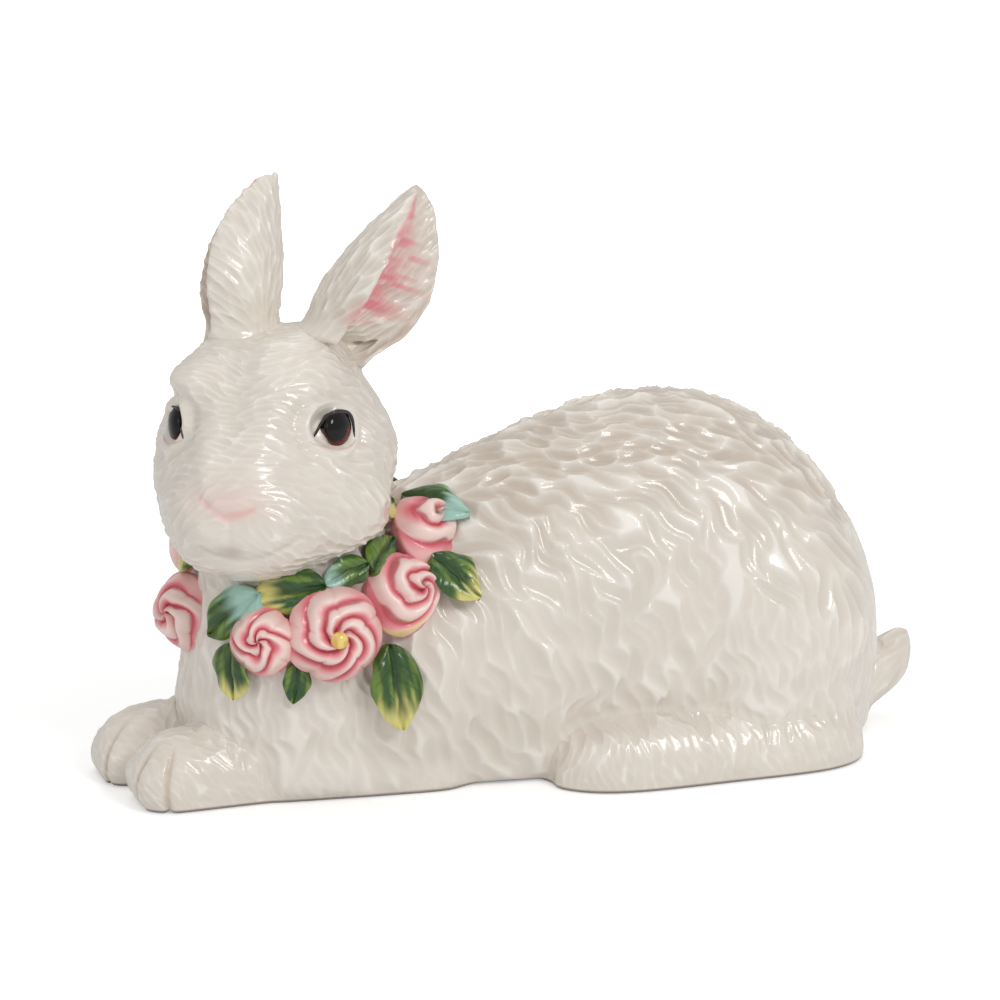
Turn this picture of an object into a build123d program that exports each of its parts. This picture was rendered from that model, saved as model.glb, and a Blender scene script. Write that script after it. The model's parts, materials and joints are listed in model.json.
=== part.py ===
"""Reclining rabbit in glazed earthenware, with a garland of roses round its neck.

The rabbit faces -X with its head turned to its left, towards -Y, and rests on its flat
underside at Z = 0. The torso and the head are hollow castings. The ears, legs, tail, eyes,
roses and leaves are separate clay pieces, each cut to the surface that it is luted to.
"""
import os
from math import cos, radians, sin

from build123d import *

# Clay and casting
wall = 5.0
floor_thickness = 6.0
vent_radius = 4.0
cut_overrun = 30.0

# Torso casting, lofted along X from the shoulders to the rump
torso_front = -104.0
torso_length = 270.0
torso_height = 147.0
torso_half_width = 64.0
torso_sunk = 22.0

# Each station: place along the length, then shares of the height (top, widest level)
# and of the half width (widest, at the base)
torso_station_shares = [
    (0.000, 0.520, 0.33, 0.36, 0.26),
    (0.045, 0.590, 0.33, 0.56, 0.40),
    (0.120, 0.690, 0.34, 0.74, 0.52),
    (0.200, 0.755, 0.35, 0.82, 0.58),
    (0.290, 0.825, 0.36, 0.86, 0.62),
    (0.390, 0.900, 0.37, 0.90, 0.67),
    (0.500, 0.965, 0.38, 0.95, 0.72),
    (0.610, 1.000, 0.39, 1.00, 0.78),
    (0.710, 0.975, 0.39, 1.01, 0.80),
    (0.800, 0.900, 0.38, 0.97, 0.78),
    (0.875, 0.775, 0.36, 0.84, 0.68),
    (0.935, 0.605, 0.34, 0.63, 0.52),
    (0.975, 0.430, 0.30, 0.41, 0.34),
    (1.000, 0.260, 0.20, 0.17, 0.14),
]

# Chest and neck, a stack of ellipses that rises into the head
neck_place = (-88.0, -4.0)
neck_radius = 49.0
neck_height = 121.0
chest_station_shares = [
    (0.00, 0.08, 0.10, 0.74, 0.62),
    (0.16, 0.03, 0.09, 0.90, 0.84),
    (0.34, 0.00, 0.06, 0.97, 0.95),
    (0.48, 0.00, 0.02, 0.93, 0.96),
    (0.62, 0.01, -0.04, 0.85, 0.92),
    (0.76, 0.00, -0.10, 0.77, 0.84),
    (0.90, -0.04, -0.14, 0.72, 0.76),
    (1.00, -0.07, -0.17, 0.69, 0.71),
]

# Haunches, an egg-shaped swelling on each flank
haunch_centre = (97.0, 38.0, 55.0)
haunch_radii = (48.0, 32.0, 49.0)

# Forelegs, lofted along X from the paw back to the elbow
foreleg_front = -164.0
foreleg_length = 145.0
foreleg_half_width = 18.5
foreleg_height = 29.5
paw_gap = 0.6
foreleg_station_shares = [
    (0.000, 0.50, 0.34),
    (0.022, 0.78, 0.62),
    (0.070, 0.95, 0.84),
    (0.150, 1.00, 0.97),
    (0.260, 0.98, 1.00),
    (0.420, 0.96, 0.94),
    (0.620, 1.00, 0.84),
    (0.820, 0.98, 0.70),
    (0.940, 0.72, 0.50),
    (1.000, 0.36, 0.26),
]

# Hind feet, lofted along X from the toes back to the heel
hind_foot_front = 5.0
hind_foot_length = 139.0
hind_foot_half_width = 19.0
hind_foot_height = 28.0
hind_foot_spread = 52.0
hind_foot_station_shares = [
    (0.000, 0.40, 0.36, -0.30),
    (0.022, 0.64, 0.64, -0.26),
    (0.070, 0.86, 0.85, -0.18),
    (0.160, 0.99, 0.98, -0.06),
    (0.300, 1.02, 1.02, 0.00),
    (0.500, 1.00, 0.96, 0.00),
    (0.700, 1.00, 0.90, -0.02),
    (0.860, 0.92, 0.86, -0.12),
    (0.960, 0.70, 0.72, -0.34),
    (1.000, 0.38, 0.42, -0.56),
]

# Toe grooves, pressed into the front of each foot
toe_groove_width = 1.8
toe_groove_depth = 3.4
toe_disc_radius = 17.0
toe_press_angle = 38.0
toe_spread_shares = (-0.40, 0.02, 0.42)

# Tail, a flattened cone that curls up along an arc
tail_root = (148.0, -5.0, 9.0)
tail_bend_radius = 36.0
tail_bend_start = 8.0
tail_bend_angle = 66.0
tail_half_width = 14.0
tail_half_thickness = 9.5
tail_station_shares = [
    (0.00, 0.80, 0.80),
    (0.20, 0.96, 0.98),
    (0.42, 1.00, 1.00),
    (0.64, 0.86, 0.86),
    (0.82, 0.60, 0.62),
    (0.94, 0.34, 0.38),
    (1.00, 0.14, 0.18),
]

# Head casting, lofted along the way that the face looks
face_yaw = -119.0
eye_line = (-108.8, -32.0, 148.8)
head_length = 113.0
head_half_width = 48.5
head_crown = 32.0
head_chin = 57.5
nose_reach_share = 0.37

# Each station: place behind the nose, then crown, half width and level of the brow,
# half width and level of the cheek, and chin, as shares of the crown, width and chin
head_station_shares = [
    (0.000, -0.60, 0.17, -0.79, 0.22, -0.68, 0.66),
    (0.040, -0.34, 0.32, -0.58, 0.42, -0.71, 0.83),
    (0.120, 0.02, 0.38, -0.29, 0.57, -0.74, 0.95),
    (0.220, 0.36, 0.45, -0.03, 0.67, -0.72, 1.00),
    (0.320, 0.68, 0.57, 0.16, 0.76, -0.66, 0.98),
    (0.420, 0.88, 0.67, 0.30, 0.85, -0.58, 0.93),
    (0.530, 0.98, 0.72, 0.38, 0.92, -0.52, 0.87),
    (0.660, 1.00, 0.72, 0.38, 0.97, -0.45, 0.80),
    (0.800, 0.93, 0.66, 0.31, 0.89, -0.37, 0.70),
    (0.910, 0.70, 0.52, 0.14, 0.68, -0.29, 0.54),
    (0.975, 0.42, 0.34, 0.00, 0.44, -0.24, 0.38),
    (1.000, 0.20, 0.16, -0.08, 0.20, -0.18, 0.26),
]

# Eyes, domed clay buttons set in shallow sockets
eye_radius = 9.0
eye_half_thickness = 3.6
eye_side = 33.4
eye_forward = 1.5
eye_outward_yaw = 66.0
eye_socket_gap = 0.12

# Ears, scoops that open to the side and lean back
ear_length = 70.0
ear_half_width = 19.0
ear_front_reach = 17.5
ear_back_reach = 14.0
ear_thickness = 5.0
ear_root_side = (23.5, -15.0)
ear_root_back = 28.0
ear_root_up = 26.0
ear_lean_back = 19.0
ear_lean_left = (27.0, 9.0)
ear_open_yaw = 70.0

# Each station: place along the ear, then shares of the half width, of the reach of the
# open edges, of the reach of the back, and of the clay thickness
ear_station_shares = [
    (0.00, 0.62, 0.62, 0.98, 1.00),
    (0.16, 0.78, 0.84, 1.02, 1.00),
    (0.32, 0.96, 1.00, 0.98, 1.00),
    (0.46, 1.00, 1.02, 0.88, 0.96),
    (0.60, 0.92, 0.95, 0.72, 0.86),
    (0.74, 0.72, 0.76, 0.52, 0.72),
    (0.86, 0.46, 0.50, 0.36, 0.56),
    (0.95, 0.24, 0.27, 0.24, 0.38),
    (1.00, 0.12, 0.13, 0.15, 0.22),
]

# Garland ring, which slopes down to the front and to the near side
garland_centre = (-88.0, -12.0, 88.0)
garland_radius = 47.0
garland_slope = (0.40, 0.32)

# Roses: name, angle round the ring, height above it, size, reach, and the way it faces.
# Height and reach are shares of the garland radius, size is a share of the rose radius,
# and the last three are degrees: turn and rise of the face, and spin about it
rose_radius = 18.0
rose_ball_share = 0.86
rose_sink_share = 0.42
rose_hull_share = 0.42
rose_heart_share = 0.17
rose_heart_lift_share = 0.48
petal_thickness_share = 0.13
petal_twist = 30.0
rose_places_share = [
    ("rose_front_large", -88.0, -0.02, 1.00, 1.00, -8.0, 4.0, 20.0, "swirl"),
    ("rose_front_small", -122.0, 0.09, 0.69, 0.98, 4.0, 6.0, 70.0, "cup"),
    ("rose_left_cheek", -51.0, -0.14, 0.86, 1.02, -24.0, 14.0, 150.0, "bud"),
    ("rose_left_shoulder", -22.0, 0.10, 0.74, 1.08, -34.0, 36.0, 0.0, "cup"),
    ("rose_right_chest", 172.0, 0.00, 0.84, 0.94, 34.0, 2.0, 40.0, "cup"),
    ("rose_right_cheek", 138.0, 0.16, 0.72, 0.98, 0.0, 10.0, 110.0, "bud"),
    ("rose_right_shoulder", 100.0, 0.06, 0.80, 1.00, 0.0, 24.0, 10.0, "swirl"),
    ("rose_nape_right", 60.0, 0.04, 0.74, 1.00, 0.0, 44.0, 85.0, "cup"),
    ("rose_nape_left", 18.0, 0.16, 0.80, 1.04, 0.0, 50.0, 30.0, "bud"),
]
rose_bead_radius = 2.6

# Whorls of petals: count, then offset from the axis, size of the cup, its lift and the
# level of its lip as shares of the rose radius
rose_whorl_shares = {
    "swirl": [(5, 0.50, 0.50, 0.02, 0.30), (4, 0.28, 0.42, 0.20, 0.48), (3, 0.12, 0.30, 0.38, 0.62)],
    "cup": [(4, 0.48, 0.52, 0.04, 0.36), (3, 0.24, 0.42, 0.22, 0.56), (2, 0.10, 0.28, 0.40, 0.66)],
    "bud": [(3, 0.42, 0.58, 0.06, 0.40), (3, 0.20, 0.44, 0.26, 0.62), (2, 0.08, 0.28, 0.44, 0.74)],
}

# Leaves: name, angle, height, length, width and reach in the same shares, then the turn
# and rise of the upper face and the heading of the tip, in degrees
leaf_length = 34.0
leaf_width = 20.0
leaf_thickness = 3.2
leaf_arch_radius = 58.0
leaf_gull_share = 0.10
leaf_lift = 5.5
leaf_pad_share = 0.30
leaf_pad_depth = 13.0
leaf_places_share = [
    ("leaf_front_low", -106.0, -0.17, 0.46, 0.54, 0.98, 0.0, -8.0, -104.0),
    ("leaf_front_hanging", -55.0, -0.44, 1.00, 1.00, 1.02, -25.0, 0.0, -84.0),
    ("leaf_right_hanging", -140.0, 0.06, 0.76, 0.80, 0.97, 0.0, -8.0, -88.0),
    ("leaf_right_curled", -124.0, 0.44, 0.86, 0.88, 0.91, 0.0, 14.0, -142.0),
    ("leaf_front_long", -90.0, 0.36, 0.84, 0.84, 0.94, 0.0, 14.0, -176.0),
    ("leaf_front_short", -66.0, 0.32, 0.58, 0.62, 0.94, 0.0, 16.0, -166.0),
    ("leaf_left_small", -64.0, 0.24, 0.62, 0.74, 0.98, 0.0, 18.0, 32.0),
    ("leaf_left_shoulder", -29.0, -0.11, 0.82, 0.90, 1.12, -50.0, 35.0, -55.0),
    ("leaf_left_nape", 3.0, 0.24, 0.90, 0.86, 0.98, -60.0, 62.0, -78.0),
    ("leaf_left_cheek", -26.0, 0.36, 0.56, 0.60, 0.94, 0.0, 30.0, 176.0),
    ("leaf_right_chest", 178.0, 0.40, 0.62, 0.62, 0.90, 0.0, 14.0, 160.0),
    ("leaf_right_low", 152.0, -0.10, 0.78, 0.80, 1.02, 0.0, -4.0, -100.0),
    ("leaf_right_shoulder", 120.0, -0.10, 0.80, 0.84, 1.02, 0.0, 12.0, -70.0),
    ("leaf_nape_right", 80.0, 0.26, 0.86, 0.84, 0.98, 0.0, 36.0, 30.0),
    ("leaf_nape_low", 76.0, -0.10, 0.80, 0.84, 1.14, 0.0, 26.0, -80.0),
    ("leaf_nape_middle", 44.0, 0.24, 0.90, 0.84, 1.04, 0.0, 60.0, 176.0),
    ("leaf_nape_left", 38.0, 0.10, 0.80, 0.84, 1.24, 14.0, 72.0, -84.0),
]

os.makedirs("parts", exist_ok=True)


def closed_outline(half_points):
    """The points of an outline that is alike on both sides of its first axis."""
    return half_points + [(-x, y) for x, y in reversed(half_points[1:-1])]


def torso_form(inset):
    """The torso as one loft of smooth sections, drawn in by inset on every side."""
    middle = torso_front + torso_length / 2
    reach_share = 1 - 2 * inset / torso_length
    with BuildPart() as form:
        for along, top, level, half, base in torso_station_shares:
            x = middle + (torso_front + along * torso_length - middle) * reach_share
            height = top * torso_height - inset
            widest = level * top * torso_height
            side = max(half * torso_half_width - inset, half * torso_half_width / 2)
            foot = max(base * torso_half_width - inset, base * torso_half_width / 2)
            crown = height - widest
            points = closed_outline([
                (0, height),
                (0.56 * side, widest + 0.83 * crown),
                (0.90 * side, widest + 0.43 * crown),
                (side, widest),
                ((side + foot) / 2, 0.42 * widest),
                (foot, 0),
                (0.62 * foot, -0.8 * torso_sunk),
                (0, -torso_sunk),
            ])
            with BuildSketch(Plane.YZ.offset(x)):
                with BuildLine():
                    Spline(*points, periodic=True)
                make_face()
        loft()
    return form.part


def chest_form(inset, extra_height=0.0):
    """Chest and neck as one loft of level ellipses, drawn in by inset, with a straight top."""
    x, y = neck_place
    stations = [(rise * neck_height, *rest) for rise, *rest in chest_station_shares]
    if extra_height > 0:
        top, *rest = stations[-1]
        stations.append((top + extra_height, *rest))
    with BuildPart() as form:
        for level, forward, aside, long, across in stations:
            centre = (x + forward * neck_radius, y + aside * neck_radius, level)
            with BuildSketch(Plane(origin=centre)):
                Ellipse(long * neck_radius - inset, across * neck_radius - inset)
        loft()
    return form.part


def haunch_form(side, inset):
    """One haunch as an egg, on the side given as 1 or -1."""
    radii = tuple(radius - inset for radius in haunch_radii)
    x, y, z = haunch_centre
    with BuildPart() as form:
        with Locations((x, side * y, z)):
            add(scale(Solid.make_sphere(1), by=radii))
    return form.part


def below(level):
    """Everything in reach under a level, for cutting a flat underside."""
    span = 2 * (torso_length + foreleg_length)
    with BuildPart() as block:
        with Locations((0, 0, level)):
            Box(span, span, torso_height, align=(Align.CENTER, Align.CENTER, Align.MAX))
    return block.part


def build_body_envelope():
    """The outside of the torso, chest and haunches, cut flat at the base."""
    with BuildPart() as envelope:
        add(torso_form(0))
        add(chest_form(0))
        add(haunch_form(1, 0))
        add(haunch_form(-1, 0))
        add(below(0), mode=Mode.SUBTRACT)
    return envelope.part


def build_body(envelope):
    """The hollow torso casting, with an open neck and a vent in its floor."""
    with BuildPart() as cavity:
        add(torso_form(wall))
        add(chest_form(wall, cut_overrun))
        add(haunch_form(1, wall))
        add(haunch_form(-1, wall))
        add(below(floor_thickness), mode=Mode.SUBTRACT)
    with BuildPart() as body:
        add(envelope)
        add(cavity.part, mode=Mode.SUBTRACT)
        with Locations((torso_front + torso_length / 2, 0, 0)):
            Cylinder(vent_radius, cut_overrun, mode=Mode.SUBTRACT)
    body.part.label = "body"
    return body.part


def face_plane():
    """Plane across the head at the eyes: x to the rabbit's left, y up, z forward."""
    forward = (cos(radians(face_yaw)), sin(radians(face_yaw)), 0)
    left = (-forward[1], forward[0], 0)
    return Plane(origin=eye_line, x_dir=left, z_dir=forward)


def head_form(inset):
    """The head as one loft of smooth sections, drawn in by inset on every side."""
    middle = head_length * (nose_reach_share - 0.5)
    reach_share = 1 - 2 * inset / head_length
    with BuildPart() as form:
        for back, crown, brow, brow_level, cheek, cheek_level, chin in head_station_shares:
            place = head_length * (nose_reach_share - back)
            place = middle + (place - middle) * reach_share
            top = crown * head_crown
            bottom = -chin * head_chin
            brow_height = brow_level * head_crown
            cheek_height = cheek_level * head_crown
            centre = (top + bottom) / 2
            shrink = 1 - 2 * inset / (top - bottom) if top - bottom > 4 * inset else 0.5
            narrow = 1 - inset / (cheek * head_half_width)
            if cheek * head_half_width < 2 * inset:
                narrow = 0.5
            half = [
                (0, top),
                (0.62 * brow * head_half_width, top - 0.11 * (top - brow_height)),
                (brow * head_half_width, brow_height),
                (cheek * head_half_width, cheek_height),
                (0.78 * cheek * head_half_width, cheek_height + 0.70 * (bottom - cheek_height)),
                (0, bottom),
            ]
            half = [(x * narrow, centre + (y - centre) * shrink) for x, y in half]
            with BuildSketch(face_plane().offset(place)):
                with BuildLine():
                    Spline(*closed_outline(half), periodic=True)
                make_face()
        loft()
    return form.part


def eye_plane(side, thickness_out=0.0):
    """Plane of one eye button: z points out of the face, y up."""
    face = face_plane()
    centre = face.from_local_coords(Vector(side * eye_side, 0, eye_forward))
    yaw = radians(face_yaw + side * eye_outward_yaw)
    outward = Vector(cos(yaw), sin(yaw), 0.06)
    across = Vector(-sin(yaw), cos(yaw), 0)
    return Plane(origin=centre + outward * thickness_out, x_dir=across, z_dir=outward)


def eye_form(side, gap):
    """A flattened dome for one eye, or its socket with a gap."""
    radii = (eye_radius + gap, eye_radius + gap, eye_half_thickness + gap)
    with BuildPart() as form:
        with Locations(eye_plane(side)):
            add(scale(Solid.make_sphere(1), by=radii))
    return form.part


def build_head(head_outside, body_envelope):
    """The hollow head casting, open where the neck enters, with two eye sockets."""
    with BuildPart() as head:
        add(head_outside)
        add(head_form(wall), mode=Mode.SUBTRACT)
        add(body_envelope, mode=Mode.SUBTRACT)
        add(eye_form(1, eye_socket_gap), mode=Mode.SUBTRACT)
        add(eye_form(-1, eye_socket_gap), mode=Mode.SUBTRACT)
    shell = head.part.solids().sort_by(SortBy.VOLUME)[-1]
    with BuildPart() as kept:
        add(shell)
    kept.part.label = "head"
    return kept.part


def main_solid(shape):
    """The largest solid of a cut piece, without crumbs."""
    return shape.solids().sort_by(SortBy.VOLUME)[-1]


def near(first, second):
    """True if the boxes of two shapes meet."""
    a, b = first.bounding_box(), second.bounding_box()
    return all((
        a.min.X < b.max.X, b.min.X < a.max.X,
        a.min.Y < b.max.Y, b.min.Y < a.max.Y,
        a.min.Z < b.max.Z, b.min.Z < a.max.Z,
    ))


def seated(form, neighbours, name):
    """A piece cut to the pieces that it is luted to."""
    with BuildPart() as piece:
        add(form)
        for neighbour in neighbours:
            if near(form, neighbour):
                add(neighbour, mode=Mode.SUBTRACT)
    with BuildPart() as kept:
        add(main_solid(piece.part))
    kept.part.label = name
    return kept.part


def toe_grooves(front, centre_y, half_width, height):
    """Upright discs that press the toe lines into the upper front of a foot."""
    reach = toe_disc_radius - toe_groove_depth
    with BuildPart() as grooves:
        for share in toe_spread_shares:
            place = (
                front + 0.14 * height - reach * cos(radians(toe_press_angle)),
                centre_y + share * half_width,
                0.74 * height + reach * sin(radians(toe_press_angle)),
            )
            with Locations(Plane(origin=place, x_dir=(1, 0, 0), z_dir=(0, 1, 0))):
                Cylinder(toe_disc_radius, toe_groove_width)
    return grooves.part


def foreleg_form(side):
    """One foreleg, from the paw back to the elbow."""
    centre_y = side * (foreleg_half_width + paw_gap / 2)
    with BuildPart() as form:
        for along, half, high in foreleg_station_shares:
            height = high * foreleg_height
            origin = (foreleg_front + along * foreleg_length, centre_y, 0.26 * height)
            with BuildSketch(Plane(origin=origin, x_dir=(0, 1, 0), z_dir=(1, 0, 0))):
                Ellipse(half * foreleg_half_width, 0.74 * height)
        loft()
        add(below(0), mode=Mode.SUBTRACT)
    return form.part


def hind_foot_form(side):
    """One hind foot, from the toes back to the heel."""
    with BuildPart() as form:
        for along, half, high, aside in hind_foot_station_shares:
            height = high * hind_foot_height
            y = side * (hind_foot_spread + aside * hind_foot_half_width)
            origin = (hind_foot_front + along * hind_foot_length, y, 0.26 * height)
            with BuildSketch(Plane(origin=origin, x_dir=(0, 1, 0), z_dir=(1, 0, 0))):
                Ellipse(half * hind_foot_half_width, 0.74 * height)
        loft()
        add(below(0), mode=Mode.SUBTRACT)
    return form.part


def tail_form():
    """The tail, lofted along an arc that curls up behind the rump."""
    x, y, z = tail_root
    with BuildPart() as form:
        for along, across, thick in tail_station_shares:
            turn = radians(tail_bend_start + along * tail_bend_angle)
            start = radians(tail_bend_start)
            origin = (
                x + tail_bend_radius * (sin(turn) - sin(start)),
                y,
                z + tail_bend_radius * (cos(start) - cos(turn)),
            )
            with BuildSketch(Plane(origin=origin, x_dir=(0, 1, 0), z_dir=(cos(turn), 0, sin(turn)))):
                Ellipse(across * tail_half_width, thick * tail_half_thickness)
        loft()
    return form.part


def ear_plane(side):
    """Plane at the root of one ear: z along the ear, y out of its open side."""
    face = face_plane()
    near_side = 0 if side > 0 else 1
    root = face.from_local_coords(Vector(ear_root_side[near_side], ear_root_up, -ear_root_back))
    lean_left = radians(ear_lean_left[near_side])
    lean_back = radians(ear_lean_back)
    along = face.x_dir * sin(lean_left) + Vector(0, 0, 1) * cos(lean_left)
    along = (along * cos(lean_back) - face.z_dir * sin(lean_back)).normalized()
    yaw = radians(face_yaw + side * ear_open_yaw)
    opening = Vector(cos(yaw), sin(yaw), 0)
    across = opening.cross(along).normalized()
    return Plane(origin=root, x_dir=across, z_dir=along)


def ear_form(side):
    """One ear, a tapering scoop with a rounded back."""
    root = ear_plane(side)
    with BuildPart() as form:
        for along, half, front, behind, thick in ear_station_shares:
            width = half * ear_half_width
            lip = front * ear_front_reach
            back = behind * ear_back_reach
            clay = thick * ear_thickness
            inner = width - clay / 2
            with BuildSketch(root.offset(along * ear_length)):
                with BuildLine():
                    ThreePointArc((-width, lip), (0, -back), (width, lip))
                    Line((width, lip), (inner, lip))
                    ThreePointArc((inner, lip), (0, clay - back), (-inner, lip))
                    Line((-inner, lip), (-width, lip))
                make_face()
        loft()
    return form.part


def petal(radius, offset, bowl, lift, top):
    """One petal, a cup of clay beside the rose's axis, open to the middle and the top."""
    clay = petal_thickness_share * radius
    aside = clay * sin(radians(petal_twist))
    inward = clay * cos(radians(petal_twist))
    span = 4 * radius
    with BuildPart() as blade:
        with Locations((offset, 0, lift)):
            Sphere(bowl)
        with Locations((offset - inward, aside, lift + clay)):
            Sphere(bowl - clay / 2, mode=Mode.SUBTRACT)
        with Locations((0, 0, top)):
            Box(span, span, span, align=(Align.CENTER, Align.CENTER, Align.MIN), mode=Mode.SUBTRACT)
    return blade.part


def rose_form(radius, kind):
    """A rose that faces +Z: a ball of clay with whorls of petals round a heart."""
    with BuildPart() as rose:
        with Locations((0, 0, -rose_sink_share * radius)):
            Sphere(rose_ball_share * radius)
        for count, offset, bowl, lift, top in rose_whorl_shares[kind]:
            blade = petal(radius, offset * radius, bowl * radius, lift * radius, top * radius)
            for index in range(count):
                turn = (index + offset) * 360 / count
                with Locations(Location((0, 0, 0), (0, 0, turn))):
                    add(blade)
        with Locations((0, 0, rose_heart_lift_share * radius)):
            Sphere(rose_heart_share * radius)
    return rose.part


def rose_hull(radius):
    """A plain drum and ball that hold a whole rose, for cutting its neighbours."""
    deep = rose_hull_share * radius
    with BuildPart() as hull:
        with Locations((0, 0, -rose_sink_share * radius)):
            Sphere(rose_ball_share * radius)
        Cylinder(radius, 2 * deep)
    return hull.part


def leaf_form(length, width):
    """A leaf that points along +X, folded down its middle, on a pad of clay."""
    half = width / 2
    edge = 1.2 * half
    dip = leaf_gull_share * width
    axis_depth = (leaf_arch_radius**2 - (length / 2) ** 2) ** 0.5
    crest = leaf_arch_radius - axis_depth
    with BuildPart() as leaf:
        with BuildSketch(Plane.YZ.offset(length / 2)):
            with BuildLine():
                left, right = (-edge, crest - dip), (edge, crest - dip)
                low_left = (-edge, crest - dip - leaf_thickness)
                low_right = (edge, crest - dip - leaf_thickness)
                ThreePointArc(left, (-edge / 2, crest + dip), (0, crest))
                ThreePointArc((0, crest), (edge / 2, crest + dip), right)
                Line(right, low_right)
                ThreePointArc(low_right, (0, crest - leaf_thickness), low_left)
                Line(low_left, left)
            make_face()
        revolve(axis=Axis((length / 2, 0, -axis_depth), (0, 1, 0)))
        with BuildSketch(Plane.XY):
            with BuildLine():
                ThreePointArc((0, 0), (0.42 * length, half), (length, 0))
                ThreePointArc((length, 0), (0.42 * length, -half), (0, 0))
            make_face()
        extrude(amount=leaf_arch_radius / 2, both=True, mode=Mode.INTERSECT)
        with BuildSketch(Plane.XY):
            with Locations((0.42 * length, 0)):
                Ellipse(leaf_pad_share * length, leaf_pad_share * width)
        extrude(amount=-leaf_pad_depth)
    return leaf.part


def garland_point(angle, height, reach):
    """A point on the garland ring, with the way out from the neck there."""
    turn = radians(angle)
    x = reach * garland_radius * cos(turn)
    y = reach * garland_radius * sin(turn)
    slope_x, slope_y = garland_slope
    z = slope_x * x + slope_y * y + height * garland_radius
    return Vector(*garland_centre) + Vector(x, y, z)


def garland_plane(angle, height, reach, turn, rise, heading):
    """Plane of a flower or leaf: z out of the garland, x along its heading."""
    yaw, pitch = radians(angle + turn), radians(rise)
    outward = Vector(cos(yaw) * cos(pitch), sin(yaw) * cos(pitch), sin(pitch))
    along = Vector(-sin(yaw), cos(yaw), 0)
    upward = outward.cross(along)
    way = along * cos(radians(heading)) + upward * sin(radians(heading))
    return Plane(origin=garland_point(angle, height, reach), x_dir=way, z_dir=outward)


def build_roses(carriers):
    """Every rose of the garland, each cut to the neck and clear of the roses before it."""
    roses, hulls = [], []
    for name, angle, height, size, reach, turn, rise, spin, kind in rose_places_share:
        location = Locations(garland_plane(angle, height, reach, turn, rise, spin))
        radius = size * rose_radius
        with BuildPart() as rose:
            with location:
                add(rose_form(radius, kind))
        with BuildPart() as hull:
            with location:
                add(rose_hull(radius))
        roses.append(seated(rose.part, carriers + hulls, name))
        hulls.append(hull.part)
    return roses, hulls


def laid_plane(plane, length, carrier):
    """A leaf's plane, moved and tipped to lie on the carrier at its root and its tip."""
    ends = []
    for along in (leaf_thickness, length - leaf_thickness):
        point = plane.origin + plane.x_dir * along
        reach = 0
        for hit, _ in carrier.find_intersection_points(Axis(point, plane.z_dir)):
            way_out = (hit - point).dot(plane.z_dir)
            if abs(way_out) < length:
                reach = way_out
        ends.append(point + plane.z_dir * (reach + leaf_lift))
    way = (ends[1] - ends[0]).normalized()
    return Plane(origin=ends[0] - way * leaf_thickness, x_dir=way, z_dir=plane.z_dir)


def build_leaves(carriers):
    """Every leaf of the garland, tucked under the roses and over the neck."""
    leaves = []
    for name, angle, height, size, broad, reach, turn, rise, heading in leaf_places_share:
        length, width = size * leaf_length, broad * leaf_width
        plane = garland_plane(angle, height, reach, turn, rise, heading)
        plane = laid_plane(plane, length, carriers[0])
        with BuildPart() as leaf:
            with Locations(plane):
                add(leaf_form(length, width))
        leaves.append(seated(leaf.part, carriers + leaves, name))
    return leaves


def build_rose_bead(roses):
    """The bead at the middle of the large front rose."""
    name, angle, height, size, reach, turn, rise, spin, kind = rose_places_share[0]
    plane = garland_plane(angle, height, reach, turn, rise, spin)
    top = (rose_heart_lift_share + rose_heart_share) * size * rose_radius
    with BuildPart() as bead:
        with Locations(plane.offset(top)):
            Sphere(rose_bead_radius)
    return seated(bead.part, roses[:1], "rose_bead")


body_envelope = build_body_envelope()
head_outside = head_form(0)
body = build_body(body_envelope)
head = build_head(head_outside, body_envelope)

pieces = [body, head]
for side, word in ((1, "left"), (-1, "right")):
    flank = -side
    eye = seated(eye_form(side, 0), [], word + "_eye")
    ear = seated(ear_form(side), [head_outside], word + "_ear")
    paw_centre = flank * (foreleg_half_width + paw_gap / 2)
    paw_grooves = toe_grooves(foreleg_front, paw_centre, foreleg_half_width, foreleg_height)
    foreleg = seated(foreleg_form(flank), [body_envelope, paw_grooves], word + "_foreleg")
    foot_grooves = toe_grooves(
        hind_foot_front, flank * hind_foot_spread, hind_foot_half_width, hind_foot_height
    )
    hind_foot = seated(hind_foot_form(flank), [body_envelope, foot_grooves], word + "_hind_foot")
    pieces += [eye, ear, foreleg, hind_foot]

tail = seated(tail_form(), [body_envelope, below(0)], "tail")
roses, rose_hulls = build_roses([body_envelope, head_outside])
bead = build_rose_bead(roses)
leaves = build_leaves([body_envelope, head_outside] + rose_hulls)
pieces += [tail, bead] + roses + leaves

for piece in pieces:
    export_step(piece, "parts/" + piece.label + ".step")
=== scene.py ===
"""Looks of the glazed ceramic rabbit: carved fur, painted face, roses and leaves.

The CAD castings are turned into distance fields, melted together under the glaze, cut apart
again piece by piece and carved with fur. The garland is modelled flower by flower.
Lengths inside are millimetres, and go to metres when a mesh is made.
"""
import itertools
import json
import math
from collections import namedtuple

import bpy
import numpy as np
import openvdb
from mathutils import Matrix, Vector
from mathutils.bvhtree import BVHTree

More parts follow.
